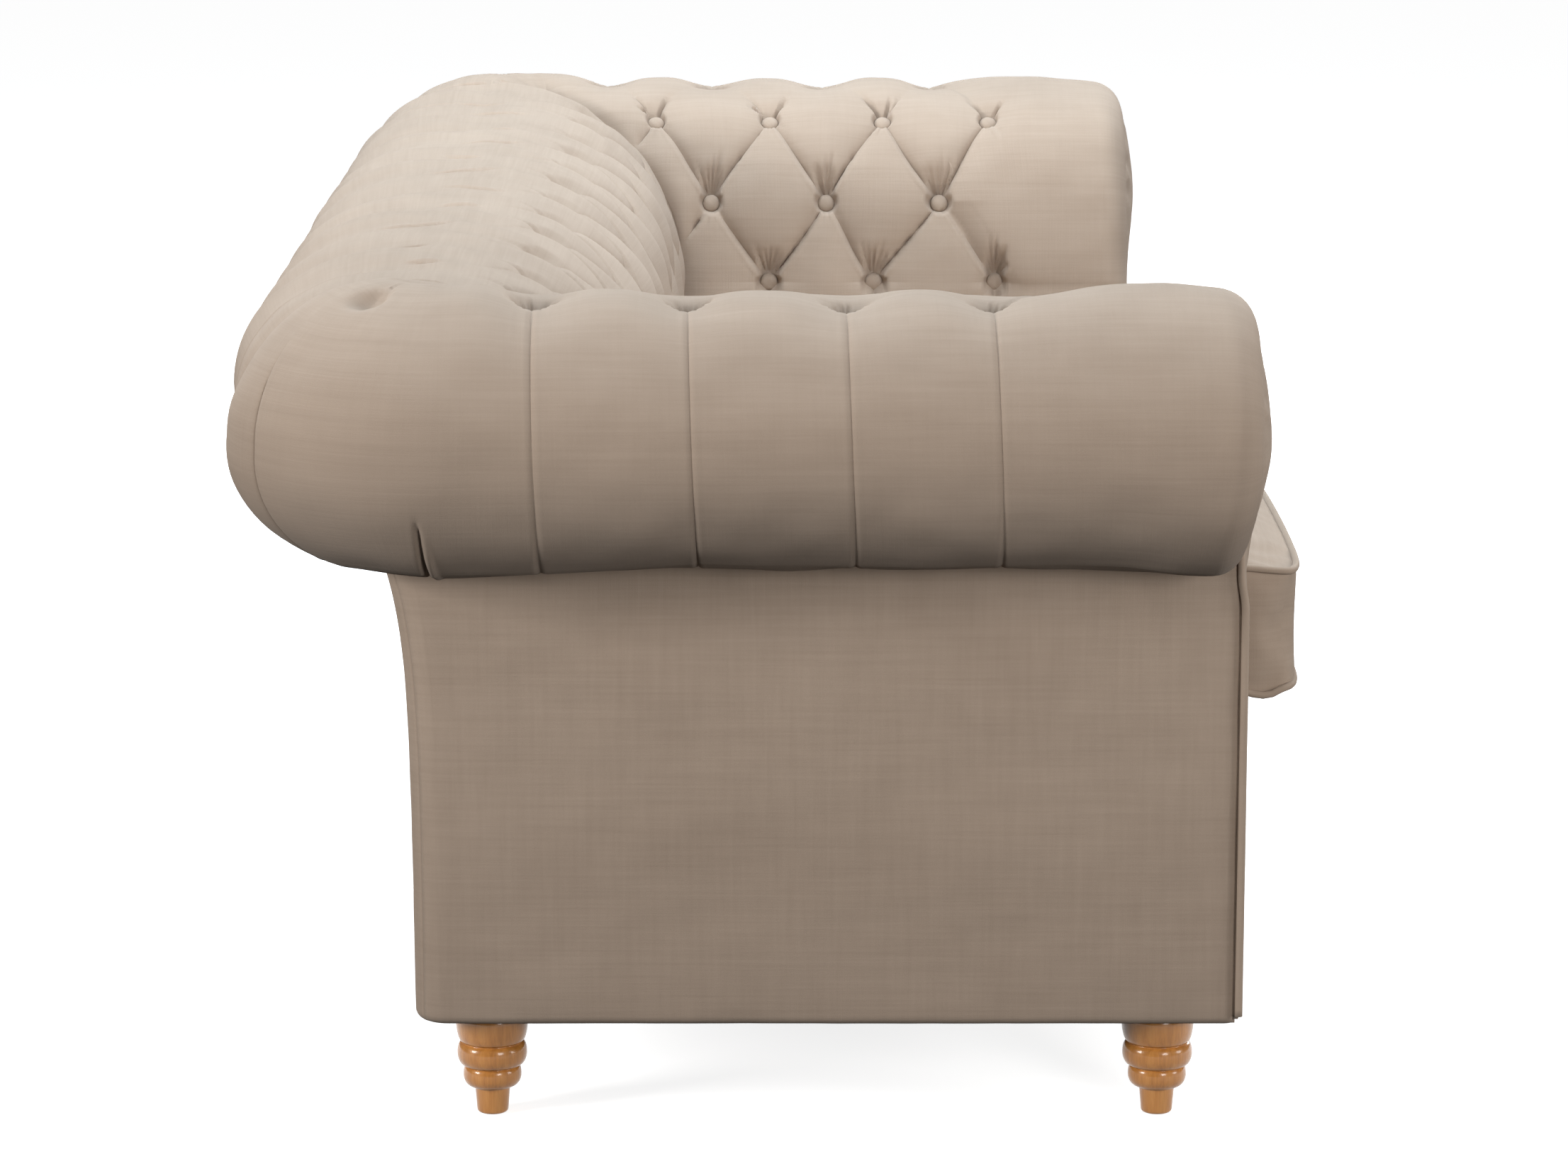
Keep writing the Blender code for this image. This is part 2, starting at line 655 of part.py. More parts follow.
def timber_frame():
    seat_rail = (FRAME_Z, RAIL_TOP)
    top_rail = (ROLL_Z - TOP_RAIL_HEIGHT, ROLL_Z)
    front_x = HALF_WIDTH - POST_INNER - GAP
    rear_x = BAND_INNER_X - GAP
    box("front_rail", (-front_x, FRAME_FRONT, seat_rail[0]), (front_x, POST_BACK, seat_rail[1]), BEECH)
    box("back_rail", (-rear_x, BAND_INNER_Y, seat_rail[0]), (rear_x, BAND_OUTER_Y, seat_rail[1]), BEECH)
    box("back_top_rail", (-rear_x, BAND_INNER_Y, top_rail[0]), (rear_x, BAND_OUTER_Y, top_rail[1]), BEECH)
    for side, sign in SIDES:
        run = (POST_BACK + GAP, BAND_INNER_Y - GAP)
        for name, heights in (("_side_rail", seat_rail), ("_arm_top_rail", top_rail)):
            side_box(side + name, sign, (BAND_INNER_X, run[0], heights[0]),
                     (BAND_OUTER_X, run[1], heights[1]), BEECH)
        rear_post(side, sign)
        front_post(side, sign)
        brace_x = SEAT_HALF / CUSHION_COUNT
        side_box(side + "_seat_brace", sign, (brace_x - FRAME_THICKNESS / 2, POST_BACK + GAP, FRAME_Z),
                 (brace_x + FRAME_THICKNESS / 2, BAND_INNER_Y - GAP, FRAME_Z + BRACE_HEIGHT), BEECH)
        thin = FRAME_THICKNESS - CLIP_WIDTH - GAP
        side_box(side + "_back_upright", sign,
                 (brace_x - UPRIGHT_WIDTH / 2, BAND_OUTER_Y - thin, RAIL_TOP + GAP),
                 (brace_x + UPRIGHT_WIDTH / 2, BAND_OUTER_Y, top_rail[0] - GAP), BEECH)


def rear_post(side, sign):
    """A corner post whose outer edge follows the round of the outside panels in two facets."""
    bm = bmesh.new()
    size = (FRAME_THICKNESS, FRAME_THICKNESS, ROLL_Z - FRAME_Z)
    bmesh.ops.create_cube(bm, size=1.0, matrix=Matrix.Diagonal((*size, 1.0)))
    edges = [edge for edge in bm.edges
             if all(vert.co.x * sign > 0 and vert.co.y > 0 for vert in edge.verts)]
    round_off = max(CORNER_RADIUS - FRAME_INSET, GAP)
    bmesh.ops.bevel(bm, geom=edges, offset=round_off, segments=2, profile=0.5, affect="EDGES")
    made = add_object(side + "_rear_post", mesh_from(side + "_rear_post", bm), BEECH)
    made.location = (sign * (BAND_INNER_X + BAND_OUTER_X) / 2, (BAND_INNER_Y + BAND_OUTER_Y) / 2,
                     (FRAME_Z + ROLL_Z) / 2)


def front_post(side, sign):
    """The arm's front board, cut to the outline inside the cover."""
    inset = COVER_THICKNESS + GAP
    section = pad_section(ARM_DEPTH, inset, INNER_STEPS, SEAT_Z, FRAME_INSET - GAP)
    outline = [(POST_INNER, FRAME_Z)] + section
    outline += [(FRAME_INSET, section[-1][1]), (FRAME_INSET, FRAME_Z)]
    points = [(sign * (HALF_WIDTH - across), height) for across, height in outline]
    extruded(side + "_arm_front_post", points, FRAME_FRONT, POST_BACK, "Y", BEECH)


def seat_springs():
    wire_z = CLIP_Z + CLIP_SHEET + GAP + SPRING_WIRE / 2
    rise = DECK_Z - GAP - SPRING_WIRE / 2 - wire_z
    start = POST_BACK - CLIP_WIDTH / 2
    end = BAND_INNER_Y + CLIP_WIDTH / 2
    bends = int((end - start) / SPRING_PITCH)
    for number in range(SPRING_COUNT):
        middle = -SEAT_HALF + 2 * SEAT_HALF * (number + 0.5) / SPRING_COUNT
        points = []
        for bend in range(bends + 1):
            share = bend / bends
            height = wire_z + rise * (1 - (2 * share - 1) ** 2)
            swing = SPRING_WIDTH / 2 * (1 if bend % 2 else -1)
            along = start + (end - start) * share
            points += [(middle - swing, along, height), (middle + swing, along, height)]
        name = "seat_spring_" + str(number + 1)
        curve = bpy.data.curves.new(name, "CURVE")
        curve.dimensions = "3D"
        curve.bevel_depth = SPRING_WIRE / 2
        curve.bevel_resolution = 0
        curve.use_fill_caps = True
        spline = curve.splines.new("POLY")
        spline.points.add(len(points) - 1)
        for point, place in zip(spline.points, points):
            point.co = (*place, 1.0)
        made = bpy.data.objects.new(name, curve)
        SOFA.objects.link(made)
        curve.materials.append(STEEL)


def spring_clips():
    """A folded steel channel along each rail, open to the springs."""
    for name, wall, sign in (("front", POST_BACK - CLIP_WIDTH, 1), ("back", BAND_INNER_Y + CLIP_WIDTH, -1)):
        reach = [(0.0, 0.0), (CLIP_WIDTH, 0.0), (CLIP_WIDTH, CLIP_SHEET), (CLIP_SHEET, CLIP_SHEET),
                 (CLIP_SHEET, CLIP_HEIGHT - CLIP_SHEET), (CLIP_WIDTH, CLIP_HEIGHT - CLIP_SHEET),
                 (CLIP_WIDTH, CLIP_HEIGHT), (0.0, CLIP_HEIGHT)]
        outline = [(wall + sign * across, CLIP_Z + height) for across, height in reach]
        extruded(name + "_spring_clip_rail", outline, -SEAT_HALF, SEAT_HALF, "X", STEEL)


def seat_deck():
    edge = HALF_WIDTH - POST_INNER - GAP
    box("seat_deck", (-edge, FRAME_FRONT, DECK_Z), (edge, BAND_INNER_Y - GAP, DECK_Z + DECK_THICKNESS), FELT)


def dust_cover():
    edge = BAND_OUTER_X - DUST_COVER_INSET
    made = box("dust_cover", (-edge, FRAME_FRONT + DUST_COVER_INSET, DUST_COVER_Z),
               (edge, BAND_OUTER_Y - DUST_COVER_INSET, DUST_COVER_Z + DUST_COVER_THICKNESS), FELT)
    for place in leg_places():
        bore(made, place[1], BOLT_RADIUS + BOLT_HOLE_CLEARANCE, DUST_COVER_Z - GAP, FRAME_Z)


def leg_places():
    places = []
    for side, sign in SIDES:
        places.append(("front_" + side, (sign * LEG_X, LEG_FRONT_Y)))
        places.append(("rear_" + side, (sign * LEG_X, LEG_REAR_Y)))
    return places


def bead(low, high, low_radius, high_radius, radius):
    """Points down a round bead between two necks, from the upper neck to just above the lower one."""
    points = []
    middle = (low + high) / 2
    for step in range(2 * BEAD_STEPS):
        turn = math.pi * step / (2 * BEAD_STEPS)
        neck = high_radius if step < BEAD_STEPS else low_radius
        points.append((neck + (radius - neck) * math.sin(turn), middle + (high - middle) * math.cos(turn)))
    return points


def leg_profile():
    profile = [(0.0, LEG_HEIGHT), (LEG_TOP_RADIUS, LEG_HEIGHT), (LEG_TOP_RADIUS, LEG_HEIGHT - LEG_TOP_EDGE)]
    profile += bead(LEG_LOWER_NECK_HEIGHT, LEG_UPPER_NECK_HEIGHT, LEG_LOWER_NECK_RADIUS,
                    LEG_UPPER_NECK_RADIUS, LEG_UPPER_BEAD_RADIUS)
    profile += bead(LEG_STEM_HEIGHT, LEG_LOWER_NECK_HEIGHT, LEG_STEM_RADIUS, LEG_LOWER_NECK_RADIUS,
                    LEG_LOWER_BEAD_RADIUS)
    profile += [(LEG_STEM_RADIUS, LEG_STEM_HEIGHT), (LEG_FOOT_RADIUS, FOOT_BEVEL)]
    profile += [(LEG_FOOT_RADIUS - FOOT_BEVEL, 0.0), (0.0, 0.0)]
    return profile


def legs():
    for name, (x, y) in leg_places():
        leg = turned("leg_" + name, leg_profile(), False, (x, y, 0.0), LEG_WOOD, LEG_STEPS)
        bore(leg, (x, y), BOLT_RADIUS + GAP, LEG_HEIGHT - BOLT_IN_LEG - GAP, LEG_HEIGHT + GAP)
        hanger_bolt(name, x, y)
        tee_nut(name, x, y)
        corner_block(name, x, y)


def hanger_bolt(name, x, y):
    low = LEG_HEIGHT - BOLT_IN_LEG
    high = FRAME_Z + BLOCK_THICKNESS + BOLT_PROUD
    bm = bmesh.new()
    bmesh.ops.create_cone(bm, cap_ends=True, segments=ROUND_STEPS, radius1=BOLT_RADIUS, radius2=BOLT_RADIUS,
                          depth=high - low)
    made = add_object("hanger_bolt_" + name, mesh_from("hanger_bolt_" + name, bm), STEEL, True)
    made.location = (x, y, (low + high) / 2)


def tee_nut(name, x, y):
    seat = FRAME_Z + BLOCK_THICKNESS + GAP
    hole = BOLT_RADIUS + GAP
    top = seat + NUT_FLANGE_THICKNESS
    foot = seat - NUT_BARREL_LENGTH
    profile = [(hole, top), (NUT_FLANGE_RADIUS, top), (NUT_FLANGE_RADIUS, seat), (NUT_BARREL_RADIUS, seat),
               (NUT_BARREL_RADIUS, foot), (hole, foot)]
    turned("tee_nut_" + name, profile, True, (x, y, 0.0), STEEL, ROUND_STEPS)


def corner_block(name, x, y):
    sign = 1 if x > 0 else -1
    inner = abs(x) - BLOCK_REACH
    outer = BAND_INNER_X - GAP
    run = (POST_BACK + GAP, y + BLOCK_REACH) if name.startswith("front") else (y - BLOCK_REACH,
                                                                              BAND_INNER_Y - GAP)
    made = side_box("corner_block_" + name, sign, (inner, run[0], FRAME_Z),
                    (outer, run[1], FRAME_Z + BLOCK_THICKNESS), BEECH)
    bore(made, (x, y), NUT_BARREL_RADIUS + GAP, FRAME_Z - GAP, FRAME_Z + BLOCK_THICKNESS + GAP)


timber_frame()
spring_clips()
seat_springs()
seat_deck()
foam_pads()
buttoned_covers()
outside_panels()
arm_facings()
front_border()
dust_cover()
seat_cushions()
legs()
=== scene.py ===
"""Looks of a rolled-arm, deep-buttoned three-seat sofa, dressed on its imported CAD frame.

Metres, +Z up. The front faces -Y, left is -X, and the origin is on the floor under the middle of the outline.
An inset is measured inwards from the outermost line of the rolls: along X on an arm, along Y on the back.
"""

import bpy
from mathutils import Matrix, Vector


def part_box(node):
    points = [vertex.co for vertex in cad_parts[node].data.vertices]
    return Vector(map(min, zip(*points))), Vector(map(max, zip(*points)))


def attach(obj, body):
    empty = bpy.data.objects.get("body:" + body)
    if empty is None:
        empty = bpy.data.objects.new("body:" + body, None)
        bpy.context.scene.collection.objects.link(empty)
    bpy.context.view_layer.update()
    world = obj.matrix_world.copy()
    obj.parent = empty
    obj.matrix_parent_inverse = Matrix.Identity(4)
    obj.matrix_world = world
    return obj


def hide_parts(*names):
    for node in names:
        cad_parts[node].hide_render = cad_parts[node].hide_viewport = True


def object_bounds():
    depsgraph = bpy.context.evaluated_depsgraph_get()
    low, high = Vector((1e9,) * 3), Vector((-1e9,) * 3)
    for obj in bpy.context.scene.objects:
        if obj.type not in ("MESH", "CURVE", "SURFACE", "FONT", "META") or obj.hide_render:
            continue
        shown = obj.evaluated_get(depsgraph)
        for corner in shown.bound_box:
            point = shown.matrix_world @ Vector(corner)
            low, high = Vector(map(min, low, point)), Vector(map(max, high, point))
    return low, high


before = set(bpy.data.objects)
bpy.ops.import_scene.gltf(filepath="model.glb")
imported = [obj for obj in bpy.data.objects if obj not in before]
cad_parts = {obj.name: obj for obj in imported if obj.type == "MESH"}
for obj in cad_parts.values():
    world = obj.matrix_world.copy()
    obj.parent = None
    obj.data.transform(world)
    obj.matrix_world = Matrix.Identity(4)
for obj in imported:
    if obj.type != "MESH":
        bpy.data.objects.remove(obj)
CAD_BOX = [list(corner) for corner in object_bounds()]

import math

import bmesh
import bpy
import numpy as np
from mathutils import Vector
from mathutils.kdtree import KDTree

# Sizes of the CAD frame that the upholstery follows
HALF_WIDTH = CAD_BOX[1][0]
HALF_DEPTH = CAD_BOX[1][1]
HEIGHT = CAD_BOX[1][2]
BACK_SWELL = 0.025
SWELL_FADE = 0.24
CORNER_SWELL_SHARE = 0.3
REAR = HALF_DEPTH - BACK_SWELL
ROLL_RADIUS = 0.125
ROLL_DROP = 0.110
ROLL_OVERHANG = 0.155
CORNER_RADIUS = 0.185
INSIDE_FALL = 0.22
SQUARENESS = 2.4
COVER_THICKNESS = 0.045
ARM_DEPTH = 0.3004
BACK_DEPTH = 0.3554
FACING_Y = -0.420
FACING_DOME = 0.0112
SEAT_Z = 0.365
FRAME_Z = 0.1001
ROLL_Z = HEIGHT - ROLL_RADIUS
UPRIGHT_TOP = HEIGHT - INSIDE_FALL
SEAT_HALF = HALF_WIDTH - ARM_DEPTH
UNDER_ROLL = 0.165
PANEL_TOP = 0.5179
PANEL_THICKNESS = 0.010

# Buttoning: rows are counted inwards from the crest, and the roll outside it has negative rows
ARM_PITCH = 0.131
BACK_PITCH = 0.1375
PITCHES = {"arm": ARM_PITCH, "back": BACK_PITCH}
FIRST_BUTTON = 0.1585
LAST_ROW = 3
ROW_SHARES = (0.0, 0.352, 0.695, 1.0)
BUTTON_DEPTHS = (0.0265, 0.0160, 0.0245, 0.0265)
BUTTON_RISES = (-0.0005, 0.0044, 0.0026, 0.0026)
BUTTON_RADIUS = 0.0102
BUTTON_MARGIN = 0.012
CREST_SHIFT = 0.012
BACK_TOP_SHARE = 0.62
STRAY = 0.0042

# Hollows over the buttons of each row: length, half width at the button and how fast it widens
CHUTES = ((0.038, 0.0210, 0.30), (0.030, 0.0105, 0.18), (0.046, 0.0125, 0.16), (0.046, 0.0125, 0.16))

# By row: how far cloth sinks at the diamonds' edges, how deep its pleats are, how far it falls beside them
PUFF = ((-1.5, 0.0012), (-0.8, 0.0045), (-0.35, 0.0095), (0.0, 0.0125), (0.55, 0.0040), (1.0, 0.0056),
        (1.6, 0.0074), (3.0, 0.0086))
CREASE = ((-3.6, 0.0015), (-0.45, 0.0017), (-0.12, 0.0006), (0.55, 0.0002), (1.0, 0.0026), (1.5, 0.0042),
          (3.0, 0.0048))
FALL = ((0.9, 0.0), (1.4, 0.0024), (3.0, 0.0042))

# Widths of a pleat, of the lip that stands up beside it and of the fall on its other side; the lip's height is
# a share of the pleat's depth
PLEAT_WIDTH = 0.0020
LIP_PLACE = 0.0048
LIP_WIDTH = 0.0024
LIP_SHARE = 0.40
FALL_WIDTH = 0.013

# Radii of the pocket round a button, from rim to floor; the back's top row has soft ones with faint folds
POCKET = (0.0158, 0.0088)
TOP_POCKET = (0.0135, 0.0088)
SOFT_POCKET = (0.030, 0.003)
SOFT_FOLDS = 0.2
BUTTON_PULL = 0.08

# Fineness of the buttoned covers: steps for each half pitch and each row of buttons
TUFT_STEPS = 32
GRADE = 0.55
UPRIGHT_STEPS = 14
ROLL_STEPS = 64
CORNER_STEPS = 40

# Rear corners and front ends of the covers
SEAM_ANGLE = math.radians(58)
DART_ANGLE = math.radians(14)
CORNER_POCKET = math.radians(40)
POCKET_SHIFT = 0.035
CORNER_SEED = 409
END_EDGE = math.radians(70)
SEAM_DEPTH = 0.0020
SEAM_WIDTH = 0.0030
DART_DEPTH = 0.0048
DART_WIDTH = 0.0024
DART_RIDGE = 0.0018
POCKET_DEPTH = 0.0110
FRONT_ROUND = 0.030
FRONT_STEPS = 9
ROLL_LEAN = 0.008

# Soft fullness over the CAD envelope: the back roll's shoulder at the left and right end, its right end's
# crest, the bulges between the arms' crest buttons, the rear corners' underside and crest, the arms' front
# ends: the left one's crest lifts, then both fall, their underside sags, and they lean back under the roll
SHOULDERS = (0.0, 0.018)
END_LIFT = 0.001
CREST_LIFT = 0.004
CORNER_SAG = 0.007
CORNER_LIFT = 0.009
FRONT_LIFT = 0.006
FRONT_FALL = 0.006
FRONT_SAG = 0.006
FRONT_LEAN = 0.009
LEAN_LENGTH = 0.09

# What crosses the back roll: wrinkles on its crest, bands and ripples outside it, folds inside it
WRINKLE_DEPTH = 0.0040
WRINKLE_WIDTH = 0.0022
WRINKLE_RIDGE = 0.0016
BAND_DEPTH = 0.0062
BAND_DRIFT = 0.012
RIPPLE_DEPTH = 0.0007
FOLD_DEPTH = 0.0013

# Creases over the buttons of each row, and last under them: half spread in degrees, length, depth and number
FANS = ((46, 0.036, 0.0066, 6), (64, 0.048, 0.0068, 2), (24, 0.060, 0.0056, 5), (24, 0.060, 0.0056, 5),
        (56, 0.032, 0.0011, 6))


def smooth_step(low, high, value):
    share = np.clip((value - low) / (high - low), 0.0, 1.0)
    return share * share * (3 - 2 * share)


def run_along(points):
    """The distance along a line of points, at each of them."""
    return np.concatenate([[0.0], np.cumsum(np.linalg.norm(np.diff(points, axis=0), axis=1))])


def ripple(u, v, wavelength, seed, count=9, spread=math.pi):
    """A smooth irregular field between about -1 and 1, made of waves in seeded directions round u."""
    draw = np.random.default_rng(seed)
    total = np.zeros(np.broadcast(u, v).shape)
    for _ in range(count):
        turn = draw.uniform(-spread, spread)
        number = 2 * math.pi / (wavelength * draw.uniform(0.7, 1.5))
        phase = draw.uniform(0, 2 * math.pi)
        total = total + np.sin(number * (math.cos(turn) * u + math.sin(turn) * v) + phase)
    return total / math.sqrt(count)


# Mesh building

WELD = 0.00002
MIRRORED = np.array([-1.0, 1.0, 1.0])

def mesh_object(name, points, faces, material, uv=None, face_uv=None):
    """An object from points and faces; uv is given for each point, face_uv for each corner of each face."""
    mesh = bpy.data.meshes.new(name)
    mesh.from_pydata([tuple(p) for p in points], [], [tuple(f) for f in faces])
    if uv is not None or face_uv is not None:
        layer = mesh.uv_layers.new(name="UVMap")
        if face_uv is None:
            corners = np.zeros(len(mesh.loops), dtype=np.int64)
            mesh.loops.foreach_get("vertex_index", corners)
            face_uv = np.asarray(uv, dtype=np.float32)[corners]
        layer.data.foreach_set("uv", np.asarray(face_uv, dtype=np.float32).ravel())
    mesh.materials.append(material)
    mesh.shade_smooth()
    made = bpy.data.objects.new(name, mesh)
    bpy.context.scene.collection.objects.link(made)
    return made


def clean(obj, close=True):
    """Welds points that fall together, closes open ends and turns the faces outwards."""
    bm = bmesh.new()
    bm.from_mesh(obj.data)
    bmesh.ops.remove_doubles(bm, verts=bm.verts[:], dist=WELD)
    bmesh.ops.dissolve_degenerate(bm, edges=bm.edges[:], dist=WELD)
    if close:
        rim = [edge for edge in bm.edges if edge.is_boundary]
        bmesh.ops.holes_fill(bm, edges=rim, sides=0)
    loose = [vert for vert in bm.verts if not vert.link_faces]
    bmesh.ops.delete(bm, geom=loose, context="VERTS")
    bmesh.ops.recalc_face_normals(bm, faces=bm.faces[:])
    bm.to_mesh(obj.data)
    bm.free()
    obj.data.shade_smooth()
    return obj


def grid_faces(columns, rows, fold=None):
    """Triangles of a grid that is numbered column by column, where each column is a ring.

    fold gives each point's depth, and each cell folds along its deeper diagonal.
    """
    column, row = np.meshgrid(np.arange(columns - 1), np.arange(rows), indexing="ij")
    after = (row + 1) % rows
    a = column * rows + row
    b = column * rows + after
    c = (column + 1) * rows + after
    d = (column + 1) * rows + row
    if fold is None:
        turn = np.zeros(a.shape, dtype=bool)
    else:
        flat = fold.ravel()
        turn = flat[b] + flat[d] > flat[a] + flat[c]
    first = np.where(turn[..., None], np.stack([a, b, d], -1), np.stack([a, b, c], -1))
    second = np.where(turn[..., None], np.stack([b, c, d], -1), np.stack([a, c, d], -1))
    return np.concatenate([first.reshape(-1, 3), second.reshape(-1, 3)])


def skin(name, points, cloth, material, fold=None, close=True):
    """A piece from columns of points, each a ring; cloth has a place on the cloth for each point."""
    faces = grid_faces(*points.shape[:2], fold)
    made = mesh_object(name, points.reshape(-1, 3), faces, material, uv=cloth.reshape(-1, 2))
    return clean(made, close=close)


def tube(name, path, radius, material, closed=False, sides=10):
    """A cord of piping along a path of points."""
    path = np.asarray(path, dtype=float)
    count = len(path)
    ahead = np.roll(path, -1, 0) - np.roll(path, 1, 0)
    if not closed:
        ahead[0] = path[1] - path[0]
        ahead[-1] = path[-1] - path[-2]
    ahead /= np.linalg.norm(ahead, axis=1)[:, None]
    normal = np.zeros_like(path)
    start = np.cross(ahead[0], (0.0, 0.0, 1.0))
    if np.linalg.norm(start) < 0.1:
        start = np.cross(ahead[0], (1.0, 0.0, 0.0))
    normal[0] = start / np.linalg.norm(start)
    for place in range(1, count):
        carried = normal[place - 1] - ahead[place] * np.dot(normal[place - 1], ahead[place])
        normal[place] = carried / np.linalg.norm(carried)
    across = np.cross(ahead, normal)
    turn = np.linspace(0, 2 * math.pi, sides, endpoint=False)
    ring = (normal[:, None, :] * np.cos(turn)[None, :, None]
            + across[:, None, :] * np.sin(turn)[None, :, None])
    points = path[:, None, :] + radius * ring
    along = run_along(path)
    uv = np.stack(np.broadcast_arrays(along[:, None], (turn * radius)[None, :]), -1).reshape(-1, 2)
    faces = grid_faces(count, sides)
    if closed:
        last = (count - 1) * sides
        extra = []
        for side in range(sides):
            after = (side + 1) % sides
            extra.append((last + side, last + after, after))
            extra.append((last + side, after, side))
        faces = np.concatenate([faces, np.array(extra)])
    made = mesh_object(name, points.reshape(-1, 3), faces, material, uv=uv)
    return clean(made)


def resample(points, step):
    points = np.asarray(points, dtype=float)
    length = run_along(points)
    wanted = np.linspace(0, length[-1], max(2, int(round(length[-1] / step)) + 1))
    return np.stack([np.interp(wanted, length, points[:, axis]) for axis in range(points.shape[1])], 1)


# Materials

class Nodes:
    """A material's node tree, with short calls for the nodes that the materials share."""

    def __init__(self, name):
        self.material = bpy.data.materials.new(name)
        self.material.use_nodes = True
        self.tree = self.material.node_tree
        self.shader = self.tree.nodes["Principled BSDF"]

    def add(self, kind, **values):
        node = self.tree.nodes.new(kind)
        for key, value in values.items():
            setattr(node, key, value)
        return node

    def link(self, source, target):
        self.tree.links.new(source, target)

    def coordinates(self, kind):
        return self.add("ShaderNodeTexCoord").outputs[kind]

    def noise(self, place, scale, detail=2.0, roughness=0.5, offset=0.0, distortion=0.0):
        mapping = self.add("ShaderNodeMapping")
        mapping.inputs["Scale"].default_value = scale
        mapping.inputs["Location"].default_value = (offset, offset * 0.7, offset * 0.3)
        self.link(place, mapping.inputs["Vector"])
        node = self.add("ShaderNodeTexNoise")
        node.inputs["Scale"].default_value = 1.0
        node.inputs["Detail"].default_value = detail
        node.inputs["Roughness"].default_value = roughness
        node.inputs["Distortion"].default_value = distortion
        self.link(mapping.outputs["Vector"], node.inputs["Vector"])
        return node.outputs["Fac"]

    def math(self, operation, first, second=None, third=None):
        node = self.add("ShaderNodeMath", operation=operation)
        for socket, value in zip(node.inputs, (first, second, third)):
            if value is None:
                continue
            if isinstance(value, (int, float)):
                socket.default_value = value
            else:
                self.link(value, socket)
        return node.outputs["Value"]

    def weighted(self, parts):
        """The sum of (socket, weight) pairs, each taken about its middle of a half, about a half."""
        total = None
        for socket, weight in parts:
            centred = self.math("SUBTRACT", socket, 0.5)
            base = 0.5 if total is None else total
            total = self.math("MULTIPLY_ADD", centred, weight, base)
        return total

    def ramp(self, value, stops):
        node = self.add("ShaderNodeValToRGB")
        elements = node.color_ramp.elements
        while len(elements) < len(stops):
            elements.new(0.5)
        for element, (place, colour) in zip(elements, stops):
            element.position = place
            element.color = (*colour, 1.0)
        self.link(value, node.inputs["Fac"])
        return node.outputs["Color"]

    def bump(self, height, distance, strength=1.0):
        node = self.add("ShaderNodeBump")
        node.inputs["Distance"].default_value = distance
        node.inputs["Strength"].default_value = strength
        self.link(height, node.inputs["Height"])
        self.link(node.outputs["Normal"], self.shader.inputs["Normal"])

    def paint(self, value, stops):
        self.link(self.ramp(value, stops), self.shader.inputs["Base Color"])

    def dull(self, value, share, base):
        """Makes the surface as rough as base, and rougher by a share of value."""
        self.link(self.math("MULTIPLY_ADD", value, share, base), self.shader.inputs["Roughness"])

    def set(self, **values):
        for key, value in values.items():
            self.shader.inputs[key.replace("_", " ")].default_value = value


CLOTH_DARK = (0.270, 0.204, 0.154)
CLOTH_LIGHT = (0.470, 0.372, 0.296)
# Painted shade along the cloth, as (where darkest, where full, darkest share): it darkens the rolls' underside
# and the foot of the pieces in panel velvet
ROLL_PAINTED_SHADE = (-0.36, -0.14, 0.66)
PANEL_PAINTED_SHADE = (0.08, 0.48, 0.86)


def velvet(name, offset, fall=None, upright=0.05):
    """A short-pile upholstery cloth woven with slubs; its coordinates are metres along the cloth.

    fall paints shade into the colour, under the rolls and towards the panels' foot: where up the cloth the
    colour is darkest, where it is full and how much darker; upright is how much the slubs that run up the
    cloth show.
    """
    nodes = Nodes(name)
    place = nodes.coordinates("UV")
    weft = nodes.noise(place, (11.0, 400.0, 1.0), 3.0, 0.6, offset)
    warp = nodes.noise(place, (430.0, 10.0, 1.0), 3.0, 0.6, offset + 3.0)
    slub = nodes.noise(place, (6.0, 170.0, 1.0), 2.0, 0.5, offset + 5.0)
    fine = nodes.noise(place, (1300.0, 1300.0, 1.0), 2.0, 0.6, offset + 7.0)
    pile = nodes.noise(place, (7.0, 10.0, 1.0), 3.0, 0.55, offset + 11.0, 0.6)
    cross = nodes.noise(place, (170.0, 13.0, 1.0), 2.0, 0.5, offset + 9.0)
    tone = nodes.weighted([(weft, 0.17), (warp, 0.07), (slub, 0.17), (cross, upright), (fine, 0.12),
                           (pile, 0.32)])
    colour = nodes.ramp(tone, [(0.10, CLOTH_DARK), (0.90, CLOTH_LIGHT)])
    # Painted shade: the colour is scaled down towards one end of the cloth's second coordinate, darkening the
    # rolls' underside and the panels' foot
    if fall:
        parts = nodes.add("ShaderNodeSeparateXYZ")
        nodes.link(place, parts.inputs["Vector"])
        shade = nodes.add("ShaderNodeMapRange", interpolation_type="SMOOTHSTEP")
        for key, value in zip(("From Min", "From Max", "To Min"), fall):
            shade.inputs[key].default_value = value
        nodes.link(parts.outputs["Y"], shade.inputs["Value"])
        scaled = nodes.add("ShaderNodeVectorMath", operation="SCALE")
        nodes.link(colour, scaled.inputs["Vector"])
        nodes.link(shade.outputs["Result"], scaled.inputs["Scale"])
        colour = scaled.outputs["Vector"]
    nodes.link(colour, nodes.shader.inputs["Base Color"])
    weave = nodes.weighted([(weft, 0.8), (warp, 0.8), (fine, 0.6)])
    nodes.bump(weave, 0.0007, 0.35)
    nodes.dull(tone, -0.12, 0.92)
    nodes.set(Specular_IOR_Level=0.0, Sheen_Weight=0.10, Sheen_Roughness=0.75)
    nodes.set(Sheen_Tint=(1.0, 0.985, 0.96, 1.0))
    return nodes.material


